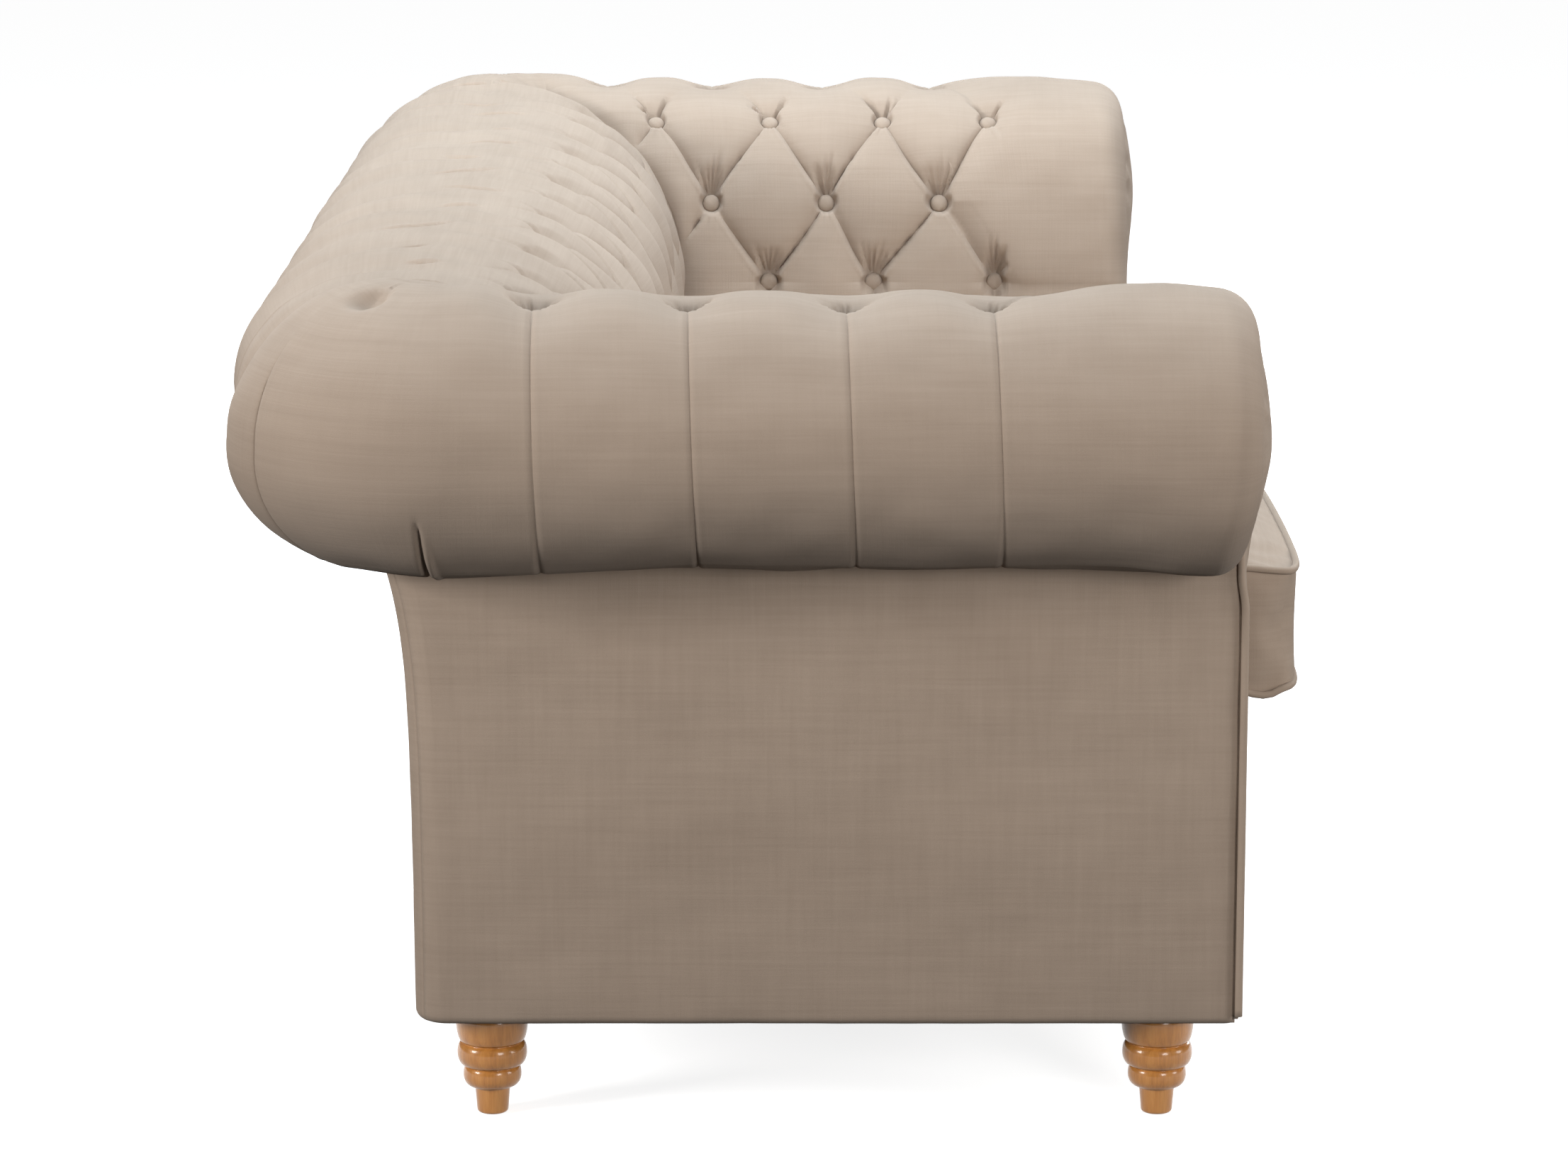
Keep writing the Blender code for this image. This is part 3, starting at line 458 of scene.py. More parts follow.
def varnished_wood(name, dark, mid, light, turn):
    nodes = Nodes(name)
    place = nodes.coordinates("Object")
    grain = nodes.noise(place, (190.0, 190.0, 14.0), 4.0, 0.6, turn, 0.8)
    pore = nodes.noise(place, (900.0, 900.0, 40.0), 2.0, 0.6, turn + 2.0)
    figure = nodes.noise(place, (38.0, 38.0, 7.0), 3.0, 0.5, turn + 4.0, 1.5)
    tone = nodes.weighted([(grain, 0.7), (pore, 0.35), (figure, 0.8)])
    nodes.paint(tone, [(0.2, dark), (0.5, mid), (0.82, light)])
    nodes.dull(pore, 0.12, 0.24)
    nodes.bump(nodes.weighted([(grain, 0.6), (pore, 0.5)]), 0.0002, 0.35)
    nodes.set(Specular_IOR_Level=0.3, Coat_Weight=0.40, Coat_Roughness=0.10)
    return nodes.material


def plain_timber(name, dark, light):
    nodes = Nodes(name)
    place = nodes.coordinates("Object")
    grain = nodes.noise(place, (9.0, 9.0, 70.0), 4.0, 0.6, 1.0, 1.2)
    pore = nodes.noise(place, (60.0, 60.0, 600.0), 2.0, 0.6, 4.0)
    tone = nodes.weighted([(grain, 0.8), (pore, 0.5)])
    nodes.paint(tone, [(0.2, dark), (0.8, light)])
    nodes.dull(pore, 0.2, 0.55)
    nodes.bump(tone, 0.0006, 0.4)
    return nodes.material


def cellular_foam(name, dark, light):
    nodes = Nodes(name)
    place = nodes.coordinates("Object")
    cells = nodes.add("ShaderNodeTexVoronoi")
    cells.inputs["Scale"].default_value = 520.0
    nodes.link(place, cells.inputs["Vector"])
    broad = nodes.noise(place, (14.0, 14.0, 14.0), 3.0, 0.5, 2.0)
    tone = nodes.weighted([(cells.outputs["Distance"], 0.6), (broad, 0.6)])
    nodes.paint(tone, [(0.2, dark), (0.8, light)])
    nodes.bump(cells.outputs["Distance"], 0.0009, 0.5)
    nodes.set(Roughness=0.95, Specular_IOR_Level=0.2)
    return nodes.material


def metal(name, dark, light, roughness):
    nodes = Nodes(name)
    place = nodes.coordinates("Object")
    drawn = nodes.noise(place, (700.0, 700.0, 60.0), 3.0, 0.6, 2.0)
    stain = nodes.noise(place, (45.0, 45.0, 45.0), 3.0, 0.6, 5.0)
    tone = nodes.weighted([(drawn, 0.5), (stain, 0.8)])
    nodes.paint(tone, [(0.2, dark), (0.8, light)])
    nodes.dull(stain, 0.25, roughness)
    nodes.bump(drawn, 0.0002, 0.3)
    nodes.set(Metallic=1.0)
    return nodes.material


def felted_cloth(name, dark, light):
    nodes = Nodes(name)
    place = nodes.coordinates("Object")
    fibre = nodes.noise(place, (1100.0, 260.0, 700.0), 3.0, 0.7, 1.0, 1.5)
    cross = nodes.noise(place, (260.0, 1100.0, 700.0), 3.0, 0.7, 6.0, 1.5)
    broad = nodes.noise(place, (8.0, 8.0, 8.0), 3.0, 0.5, 3.0)
    tone = nodes.weighted([(fibre, 0.6), (cross, 0.6), (broad, 0.5)])
    nodes.paint(tone, [(0.2, dark), (0.8, light)])
    nodes.bump(tone, 0.0008, 0.5)
    nodes.set(Roughness=0.95, Specular_IOR_Level=0.1, Sheen_Weight=0.15)
    return nodes.material


ARM_VELVET = velvet("arm_velvet", 0.0, ROLL_PAINTED_SHADE)
BACK_VELVET = velvet("back_velvet", 13.0, ROLL_PAINTED_SHADE)
PANEL_VELVET = velvet("panel_velvet", 29.0, PANEL_PAINTED_SHADE, 0.17)
CUSHION_VELVET = velvet("cushion_velvet", 41.0)
TRIM_VELVET = velvet("trim_velvet", 57.0)
LEG_WOOD = varnished_wood("leg_wood", (0.350, 0.134, 0.028), (0.500, 0.208, 0.046), (0.620, 0.290, 0.078),
                          3.0)
TIMBER = plain_timber("frame_timber", (0.42, 0.27, 0.14), (0.68, 0.50, 0.31))
PAD_FOAM = cellular_foam("pad_foam", (0.68, 0.61, 0.44), (0.88, 0.83, 0.69))
STEEL = metal("zinc_steel", (0.46, 0.46, 0.45), (0.72, 0.72, 0.71), 0.25)
SPRING = metal("spring_steel", (0.20, 0.20, 0.21), (0.38, 0.38, 0.39), 0.30)
FELT = felted_cloth("deck_felt", (0.20, 0.185, 0.17), (0.34, 0.32, 0.30))
DUST_CLOTH = felted_cloth("dust_cloth", (0.016, 0.016, 0.017), (0.045, 0.045, 0.047))


# Buttoned covers

def graded(step):
    """A place counted in half pitches or rows, for steps that crowd together at the buttons."""
    place = np.asarray(step) / TUFT_STEPS
    return place - GRADE * np.sin(2 * math.pi * place) / (2 * math.pi)


class Section:
    """A pad's outline in rows from its foot, up the inside, over the crest and under the roll.

    inset and height are its points, across and down its inward normals, and reach is the distance along the
    outline from the crest, positive on the inside.
    """

    def __init__(self, depth, sunk=0.0):
        turn = np.linspace(0, math.pi / 2, 4001)
        span = depth - sunk - ROLL_RADIUS
        fine = np.stack([ROLL_RADIUS + span * np.maximum(np.cos(turn), 0.0) ** (2 / SQUARENESS),
                         UPRIGHT_TOP + (INSIDE_FALL - sunk) * np.sin(turn) ** (2 / SQUARENESS)], 1)
        length = run_along(fine)
        self.row_gap = length[-1] / LAST_ROW
        row = LAST_ROW - graded(np.arange(LAST_ROW * TUFT_STEPS + 1))
        wanted = length[-1] * (1 - np.interp(row, range(LAST_ROW + 1), ROW_SHARES))
        inside = np.stack([np.interp(wanted, length, fine[:, axis]) for axis in (0, 1)], 1)
        upright = np.linspace(SEAT_Z, UPRIGHT_TOP, UPRIGHT_STEPS, endpoint=False)
        below = math.pi / 2 + math.asin((UNDER_ROLL - ROLL_RADIUS) / ROLL_RADIUS)
        angle = math.pi / 2 - (math.pi / 2 + below) * np.linspace(0, 1, ROLL_STEPS + 1)[1:] ** 1.3
        radius = ROLL_RADIUS - sunk
        rise = np.where(angle > 0, radius, ROLL_DROP - sunk)
        self.inset = np.concatenate([np.full(UPRIGHT_STEPS, depth - sunk), inside[:, 0],
                                     ROLL_RADIUS - radius * np.cos(angle)])
        self.height = np.concatenate([upright, inside[:, 1], ROLL_Z + rise * np.sin(angle)])
        self.reach = np.concatenate([length[-1] + UPRIGHT_TOP - upright, length[-1] - wanted,
                                     radius * (angle - math.pi / 2)])
        along = np.stack([np.gradient(self.inset), np.gradient(self.height)], 1)
        along /= np.linalg.norm(along, axis=1)[:, None]
        self.across = -along[:, 1]
        self.down = along[:, 0]
        self.row = np.concatenate([LAST_ROW + (UPRIGHT_TOP - upright) / self.row_gap, row,
                                   radius * (angle - math.pi / 2) / self.row_gap])
        self.row_reach = [length[-1] * share for share in ROW_SHARES]


ARM = Section(ARM_DEPTH)
BACK = Section(BACK_DEPTH)
ARM_LINING = Section(ARM_DEPTH, COVER_THICKNESS)
BACK_LINING = Section(BACK_DEPTH, COVER_THICKNESS)
CREST_ROW = UPRIGHT_STEPS + LAST_ROW * TUFT_STEPS
LINING_ROWS = [0, UPRIGHT_STEPS, (UPRIGHT_STEPS + CREST_ROW) // 2]
LINING_ROWS += [CREST_ROW + ROLL_STEPS * quarter // 4 for quarter in range(5)]
CORNER_START = REAR - CORNER_RADIUS
BACK_REACH = HALF_WIDTH - CORNER_RADIUS


def button_limit(kind, row):
    """How far along its pad a row of buttons goes before it meets the corner."""
    place = UPRIGHT_STEPS + (LAST_ROW - row) * TUFT_STEPS
    radius = max(0.0, CORNER_RADIUS - ARM.inset[place])
    if kind == "arm":
        return REAR - BACK.inset[place] - radius - BUTTON_MARGIN
    return HALF_WIDTH - ARM.inset[place] - radius - BUTTON_MARGIN


def arm_place(column):
    return FACING_Y + FIRST_BUTTON + (column - 1) * ARM_PITCH / 2


def button_places(kind):
    """(column, row) of each button of a pad; buttons stand where the two add up to an even number."""
    places = []
    for row in range(LAST_ROW + 1):
        for column in range(-20, 21):
            if (column + row) % 2:
                continue
            if kind == "arm" and 1 <= column and arm_place(column) <= button_limit("arm", row):
                places.append((column, row))
            if kind == "back" and row and abs(column) * BACK_PITCH / 2 <= button_limit("back", row):
                places.append((column, row))
    return places


def by_row(table, row):
    places, values = zip(*table)
    return np.interp(row, places, values)


def fan(across, up, row, draw):
    """Creases that spread upwards from a button, or inwards from one on the crest."""
    spread, length, depth, count = FANS[row]
    distance = np.hypot(across, up)
    angle = np.arctan2(across, up)
    crease = np.zeros(distance.shape)
    for place in range(count):
        aim = math.radians(spread * (2 * (place + draw.uniform(0.25, 0.75)) / count - 1))
        reach = length * draw.uniform(0.70, 1.15)
        off = distance * np.sin(np.clip(angle - aim, -1.5, 1.5))
        ahead = np.cos(angle - aim) > 0
        fade = smooth_step(0.008, 0.013, distance) * (1 - smooth_step(0.50 * reach, reach, distance))
        width = 0.0012 + 0.022 * distance
        crease += depth * draw.uniform(0.65, 1.25) * np.exp(-(off / width) ** 2) * fade * ahead
    return crease


def tuft_depth(kind, column, section, seed):
    """Depth of the buttoned surface below its envelope, for columns counted in half pitches along a pad."""
    half_pitch = PITCHES[kind] / 2
    row = np.broadcast_to(section.row, column.shape)
    inner = np.clip(row, 0, LAST_ROW)
    rising = (column + inner) / 2
    falling = (column - inner) / 2
    off_rising = rising - np.round(rising)
    off_falling = falling - np.round(falling)
    full = np.sqrt(np.abs(np.sin(math.pi * off_rising) * np.sin(math.pi * off_falling)))
    puff = by_row(PUFF, row)
    if kind == "back":
        puff = puff * (0.15 + 0.85 * smooth_step(0.7, 1.4, row))
    inward = smooth_step(0.3, 1.0, row)
    crest = 1 - smooth_step(0.25, 1.0, np.abs(row))
    scallop = np.abs(np.cos(math.pi * column / 2)) ** 3
    depth = puff * ((1 - full ** 0.8) * (1 - crest) + scallop * crest) - 0.003 * full ** 2 * inward
    edge = np.full(column.shape, -99.0)
    if kind == "arm":
        edge = 1 + np.abs(1 - np.mod(inner, 2))
        ahead = np.clip(edge - column, 0, None) * half_pitch * 0.8
        plain = (puff + 0.003 * inward) * np.exp(-(ahead / 0.022) ** 1.3) - 0.003 * inward
        depth = np.where(column < edge, plain, depth)
    slope = 0.5 * math.hypot(1 / half_pitch, 1 / section.row_gap)
    inside = (row > 0) & (row < LAST_ROW)
    line = by_row(CREASE, row) * np.where(inside, 1.0, 0.5) * (column > edge - 0.5)
    line = line * np.where(inside, 0.40 + 0.85 * smooth_step(0.1, 0.9, row - np.floor(row)), 1.0)
    for off, lower in ((off_rising, 1), (off_falling, -1)):
        away = np.abs(off) / np.where(inside, slope, 0.5 / half_pitch)
        lip = np.exp(-((away - LIP_PLACE) / LIP_WIDTH) ** 2) * (off * lower > 0)
        depth = depth + line * (np.exp(-away / PLEAT_WIDTH) - LIP_SHARE * lip)
        beside = inside * (column > edge - 0.5) * np.exp(-away / FALL_WIDTH) * (off * lower < 0)
        depth = depth + by_row(FALL, row) * beside
    if kind == "arm":
        level = np.exp(-np.abs(row - LAST_ROW) * section.row_gap / 0.007)
        depth += np.where(column < 1, 0.005 * level * np.exp((column - 1) * half_pitch / 0.09), 0.0)
    return sink_buttons(depth, kind, column, section, seed)


def sink_buttons(depth, kind, column, section, seed):
    """Depths with the hollow at each button and the creases that run out of it."""
    half_pitch = PITCHES[kind] / 2
    reach = np.broadcast_to(section.reach, column.shape)
    draw = np.random.default_rng(seed)
    for button_column, button_row in button_places(kind):
        across = (column - button_column) * half_pitch
        up = section.row_reach[button_row] - reach
        if button_row == 0:
            up = reach + CREST_SHIFT
        near = (np.abs(across) < BUTTON_PULL) & (np.abs(up) < BUTTON_PULL)
        if not near.any():
            continue
        across = across[near]
        up = up[near]
        above = np.clip(up, 0, None)
        length, wide, widening = CHUTES[button_row]
        wide = wide + widening * above
        chute = np.clip(1 - above / length, 0, 1) ** 1.3 * smooth_step(wide, 0.4 * wide, np.abs(across))
        soft = kind == "back" and button_row == 1
        rim, floor = TOP_POCKET if button_row == 1 else POCKET
        if soft:
            rim, floor = SOFT_POCKET
        held = np.maximum(chute * (up > 0), smooth_step(rim, floor, np.hypot(across, up)))
        sunk = BUTTON_DEPTHS[button_row]
        folds = fan(across, up, button_row, draw)
        if button_row:
            folds = folds + fan(across, -up, 4, draw)
        if soft:
            sunk = BACK_TOP_SHARE * sunk
            folds = SOFT_FOLDS * folds
        depth[near] = depth[near] * (1 - held) + sunk * held + folds
    return depth


def stray(u, v, to_corner, seed):
    """How far the buttoning wanders along its pad, so that no two diamonds are alike."""
    return STRAY * ripple(u, np.maximum(v, 0.0), 0.20, seed + 12) * smooth_step(0.0, 0.10, to_corner)


def corner_marks(angle, y, reach):
    """Depth of what shows round a rear corner: the covers' seam, a dart under the roll, a button's pocket."""
    seam = SEAM_DEPTH * np.exp(-np.abs(angle - SEAM_ANGLE) * CORNER_RADIUS / SEAM_WIDTH)
    seam = seam * smooth_step(-0.09, -0.16, reach)
    share = np.clip((reach + 0.25) / -0.15, 0.0, 1.0)
    off = y - (CORNER_START + 0.0195 - 0.010 * share)
    dart = DART_DEPTH * np.exp(-(off / DART_WIDTH) ** 2) * smooth_step(-0.245, -0.275, reach)
    dart = dart - DART_RIDGE * np.exp(-((off + 0.0055) / 0.0035) ** 2) * smooth_step(-0.25, -0.30, reach)
    across = (angle - CORNER_POCKET) * (CORNER_RADIUS - ROLL_RADIUS + POCKET_SHIFT)
    inward = reach + POCKET_SHIFT
    pocket = POCKET_DEPTH * (1 - smooth_step(0.003, 0.022, np.hypot(across, inward)))
    return seam + dart + pocket + 0.5 * fan(across, inward, 0, np.random.default_rng(CORNER_SEED))


def crest_wrinkles(u, v, seed):
    """Short pinched wrinkles across the crest of the back roll."""
    draw = np.random.default_rng(seed)
    depth = np.zeros(u.shape)
    for place in range(-6, 7):
        middle = place * BACK_PITCH + draw.uniform(-0.02, 0.02)
        height = draw.uniform(-0.010, 0.040)
        length = draw.uniform(0.012, 0.030)
        lean = draw.uniform(-0.35, 0.35)
        off = u - middle - lean * (v - height) - 6.0 * (v - height) ** 2
        fade = np.exp(-((v - height) / length) ** 4)
        pinch = WRINKLE_DEPTH * np.exp(-(off / WRINKLE_WIDTH) ** 2)
        ridge = WRINKLE_RIDGE * np.exp(-((off - 0.007) / 0.0045) ** 2)
        depth += fade * (pinch - ridge)
    return depth


def back_creases(u, v, seed):
    """Depth of what crosses the back roll: bands and ripples outside, wrinkles on the crest, folds inside."""
    drift = BAND_DRIFT * ripple(u, v, 0.30, seed + 7)
    band = np.abs(np.cos(math.pi * (u + drift) / BACK_PITCH)) ** 2.2
    outside = BAND_DEPTH * band * smooth_step(-0.24, -0.11, v)
    outside = outside + RIPPLE_DEPTH * ripple(u, v * 0.3, 0.066, seed + 3, 7, 0.22)
    slant = smooth_step(0.01, 0.06, v) * smooth_step(0.20, 0.10, v)
    folds = FOLD_DEPTH * slant * ripple(u + 0.6 * v, v * 0.15, 0.085, seed + 6, 7, 0.3)
    return smooth_step(0.05, -0.04, v) * outside + crest_wrinkles(u, v, seed + 8) + folds


def back_bulge(kind, value):
    """How far the back roll stands out past the rear corners, for columns of one kind; fullest midway."""
    outward = np.clip(1 - BACK.inset / ROLL_RADIUS, 0.0, 1.0)
    if kind == "corner":
        return BACK_SWELL * outward * CORNER_SWELL_SHARE * np.sin(value) ** 2
    full = smooth_step(BACK_REACH, BACK_REACH - SWELL_FADE, np.abs(value))
    return BACK_SWELL * outward * (CORNER_SWELL_SHARE + (1 - CORNER_SWELL_SHARE) * full)


def fullness(kind, value, x, to_corner):
    """How far a roll swells past its envelope, for columns of one kind; they stand at x."""
    quarter = ROLL_RADIUS * math.pi / 2
    shoulder = np.sin(math.pi * np.clip(-ARM.reach / quarter, 0.0, 1.0)) ** 1.2
    under = np.sin(math.pi * np.clip(0.85 * (-ARM.reach / quarter - 1.0), 0.0, 1.0))
    crest = np.exp(-(ARM.reach / 0.075) ** 2)
    behind = {"arm": 0.0, "corner": np.sin(value) ** 2, "back": 1.0}[kind]
    share = (x + HALF_WIDTH) / (2 * HALF_WIDTH)
    total = (SHOULDERS[0] + (SHOULDERS[1] - SHOULDERS[0]) * share) * shoulder * behind
    total = total + END_LIFT * crest * smooth_step(0.45, 0.85, x) * behind
    total = total + CORNER_SAG * under * (1 - smooth_step(0.0, 0.20, to_corner))
    total = total + CORNER_LIFT * crest * (1 - smooth_step(0.0, 0.05 if kind == "back" else 0.11, to_corner))
    if kind == "arm":
        total = total + CREST_LIFT * crest * smooth_step(0.0, 0.05, to_corner)
        total = total + FRONT_LIFT * crest * smooth_step(-0.24, -0.32, value) * (x < 0)
        total = total - FRONT_FALL * crest * smooth_step(-0.335, -0.415, value)
        total = total + FRONT_SAG * under * smooth_step(-0.28, -0.36, value)
    return total


def front_lean(x, z):
    """How far the front of an arm falls back below its roll's fullest part."""
    overhang = smooth_step(-0.05, 0.05, np.abs(x) - HALF_WIDTH + ROLL_OVERHANG)
    return FRONT_LEAN * overhang * smooth_step(0.625, 0.525, z) * smooth_step(0.470, 0.505, z)


def lean_back(points):
    """Moves the points of an arm's front end back by its lean."""
    x, y, z = np.moveaxis(points, -1, 0)
    y += front_lean(x, z) * smooth_step(FACING_Y + LEAN_LENGTH, FACING_Y, y)


def cover_lining(columns):
    """Points of the inside of a cover, for each of its columns."""
    points = np.zeros((len(columns), len(LINING_ROWS), 3))
    radius = np.maximum(0.0, CORNER_RADIUS - ARM_LINING.inset[LINING_ROWS])
    side = HALF_WIDTH - ARM_LINING.inset[LINING_ROWS]
    back = REAR - BACK_LINING.inset[LINING_ROWS]
    for place, (name, value, _) in enumerate(columns):
        if name == "arm":
            x, y = side, np.minimum(value, back - radius)
        elif name == "back":
            x, y = np.clip(value, -(side - radius), side - radius), back
        else:
            x = side - radius + radius * math.cos(value)
            y = back - radius + radius * math.sin(value)
        points[place] = np.stack([x, y, ARM_LINING.height[LINING_ROWS]], 1)
    lean_back(points)
    return points


def cover_grid(kind, columns, seed, hand=1):
    """Points, cloth coordinates and depths of a run of columns of the right half, outer face then lining.

    hand is -1 where the columns will be mirrored to the left.
    """
    rows = len(ARM.inset)
    radius = np.maximum(0.0, CORNER_RADIUS - ARM.inset)
    side = HALF_WIDTH - ARM.inset
    back = REAR - BACK.inset
    grid = np.zeros((len(columns), rows, 3))
    cloth = np.zeros((len(columns), rows, 2))
    depth = np.zeros((len(columns), rows))
    facing = np.zeros((len(columns), 2))
    front = np.array([extra for _, _, extra in columns])
    kinds = np.array([name for name, _, _ in columns])
    values = np.array([value for _, value, _ in columns])
    tuck = 1 - smooth_step(0.0, 0.06, radius)
    for name in ("arm", "corner", "back"):
        chosen = np.nonzero(kinds == name)[0]
        if not len(chosen):
            continue
        value = values[chosen][:, None]
        v = ARM.reach if kind == "arm" else BACK.reach
        if name == "arm":
            plan = np.minimum(value, back - radius)
            facing[chosen] = (1.0, 0.0)
            to_corner = back - radius - plan
            column = (plan - FACING_Y - FIRST_BUTTON) / (ARM_PITCH / 2) + 1
            lean = ROLL_LEAN * smooth_step(0.0, -0.34, v) * smooth_step(0.0, 0.10, to_corner)
            lean = lean * smooth_step(FACING_Y + FRONT_ROUND, FACING_Y + 0.12, plan)
            u = value + 0 * plan
            aside = stray(u, v, to_corner, seed) * smooth_step(FACING_Y + 0.05, FACING_Y + 0.15, plan)
            x, y = np.broadcast_arrays(side, plan - lean + aside)
        elif name == "back":
            plan = np.clip(value, -(side - radius), side - radius)
            facing[chosen] = (0.0, 1.0)
            to_corner = side - radius - np.abs(plan)
            column = plan / (BACK_PITCH / 2)
            u = value + 0 * plan
            x, y = np.broadcast_arrays(plan + stray(u, v, to_corner, seed), back + back_bulge("back", value))
        else:
            x = side - radius + radius * np.cos(value)
            y = back - radius + radius * np.sin(value) + back_bulge("corner", value)
            facing[chosen, 0] = np.cos(values[chosen])
            facing[chosen, 1] = np.sin(values[chosen])
            to_corner = np.zeros(x.shape)
            u = CORNER_START + value * 0.12 + 0 * x
            if kind == "back":
                u = BACK_REACH + (math.pi / 2 - value) * 0.12 + 0 * x
            column = None
        v = np.broadcast_to(v, x.shape)
        clear = 1.0
        if column is None:
            clear = smooth_step(0.0, 0.22, np.abs(value - SEAM_ANGLE))
            sunk = corner_marks(value, y, v)
        else:
            sunk = tuft_depth(name, column, BACK if name == "back" else ARM, seed)
            sunk = sunk * smooth_step(0.0, 0.028, to_corner)
        sunk = sunk + 0.011 * np.exp(-to_corner / 0.013) * tuck
        sunk = sunk + clear * (0.0012 * ripple(u, v, 0.16, seed + 1) + 0.0005 * ripple(u, v, 0.06, seed + 2))
        hem = 0.335 + 0.004 * clear * ripple(u, 0 * u, 0.2, seed + 4)
        sunk = sunk - 0.0014 * np.exp(-((v + hem) / 0.0042) ** 2)
        if kind == "back":
            sunk = sunk + clear * back_creases(u, v, seed)
        sunk = sunk - fullness(name, value, hand * x, to_corner)
        grid[chosen, :, 0], grid[chosen, :, 1] = x, y
        cloth[chosen, :, 0], cloth[chosen, :, 1] = u, v
        depth[chosen] = sunk
    blend = (facing[:, 1] ** 2)[:, None]
    across = ARM.across * (1 - blend) + BACK.across * blend
    down = ARM.down * (1 - blend) + BACK.down * blend
    height = ARM.height * (1 - blend) + BACK.height * blend
    rounded = 0.25 + 0.75 * smooth_step(UPRIGHT_TOP - 0.04, UPRIGHT_TOP + 0.03, ARM.height)
    depth = depth + front[:, None] * np.where(ARM.reach < 0, 1.0, rounded)
    grid[:, :, 0] -= depth * across * facing[:, :1]
    grid[:, :, 1] -= depth * across * facing[:, 1:]
    grid[:, :, 2] = height + depth * down
    lean_back(grid)
    lining = cover_lining(columns)
    points = np.concatenate([grid, lining[:, ::-1]], 1)
    cloth = np.concatenate([cloth, cloth[:, LINING_ROWS][:, ::-1]], 1)
    fold = np.concatenate([depth, np.zeros(lining.shape[:2])], 1)
    return points, cloth, fold


def arm_columns():
    columns = []
    for step in range(FRONT_STEPS):
        turn = math.pi / 2 * step / FRONT_STEPS
        place = FACING_Y + FRONT_ROUND * (1 - math.cos(turn))
        columns.append(("arm", place, FRONT_ROUND * (1 - math.sin(turn))))
    step = math.ceil((1 - (FIRST_BUTTON - FRONT_ROUND) / (ARM_PITCH / 2)) * TUFT_STEPS)
    while arm_place(graded(step)) < CORNER_START - 0.001:
        columns.append(("arm", arm_place(graded(step)), 0.0))
        step += 1
    for angle in np.concatenate([np.linspace(0, DART_ANGLE, 29), seam_angles(DART_ANGLE, -1)[1:]]):
        columns.append(("corner", angle, 0.0))
    return columns


def seam_angles(end, sign):
    """Angles round a corner between an end and the covers' seam, close together at the seam."""
    close = np.radians([0.0, 0.5, 1.1, 2.0, 3.2])
    count = round(abs(end - SEAM_ANGLE) / (math.pi / 2) * CORNER_STEPS)
    rest = np.linspace(SEAM_ANGLE + sign * close[-1], end, count)[1:]
    angles = np.concatenate([SEAM_ANGLE + sign * close, rest])
    return angles if sign > 0 else angles[::-1]


def back_columns():
    columns = [("corner", angle, 0.0) for angle in seam_angles(math.pi / 2, 1)]
    corner = len(columns) - 1
    reach = math.floor((BACK_REACH - 0.001) / (BACK_PITCH / 2) * TUFT_STEPS)
    for step in range(reach, -reach - 1, -1):
        columns.append(("back", graded(step) * BACK_PITCH / 2, 0.0))
    return columns, corner


def buttoned_cover(name, kind, seed, mirror):
    if kind == "arm":
        points, cloth, fold = cover_grid("arm", arm_columns(), seed, -1 if mirror else 1)
    else:
        columns, corner = back_columns()
        points, cloth, fold = cover_grid("back", columns, seed)
        end, end_cloth, end_fold = cover_grid("back", columns[:corner + 1], seed + 40, -1)
        points = np.concatenate([points, end[::-1] * MIRRORED])
        cloth = np.concatenate([cloth, end_cloth[::-1] * np.array([-1.0, 1.0])])
        fold = np.concatenate([fold, end_fold[::-1]])
    if mirror:
        points = points * MIRRORED
    made = skin(name, points, cloth, ARM_VELVET if kind == "arm" else BACK_VELVET, fold)
    made.data.set_sharp_from_angle(angle=END_EDGE)
    return made


def button_mesh(name, places, material):
    """Covered buttons, each a low dome, at (point, outward normal) places."""
    rings = [(0.0, 0.0052), (0.35, 0.0049), (0.65, 0.0040), (0.87, 0.0024), (0.98, 0.0006), (1.0, -0.0010),
             (0.96, -0.0026), (0.80, -0.0036)]
    sides = 18
    points, faces, uv = [], [], []
    for centre, normal in places:
        normal = Vector(normal).normalized()
        across = normal.orthogonal().normalized()
        other = normal.cross(across)
        first = len(points)
        for share, rise in rings:
            for side in range(sides):
                turn = 2 * math.pi * side / sides
                flat = (across * math.cos(turn) + other * math.sin(turn)) * share * BUTTON_RADIUS
                points.append(Vector(centre) + flat + normal * rise)
                reach = share * BUTTON_RADIUS
                uv.append((reach * math.cos(turn) + first * 0.01, reach * math.sin(turn)))
        for ring in range(len(rings) - 1):
            for side in range(sides):
                after = (side + 1) % sides
                a, b = first + ring * sides + side, first + ring * sides + after
                faces.append((a, b, b + sides, a + sides))
        faces.append(tuple(first + (len(rings) - 1) * sides + side for side in range(sides))[::-1])
    return clean(mesh_object(name, points, faces, material, uv=uv), close=False)


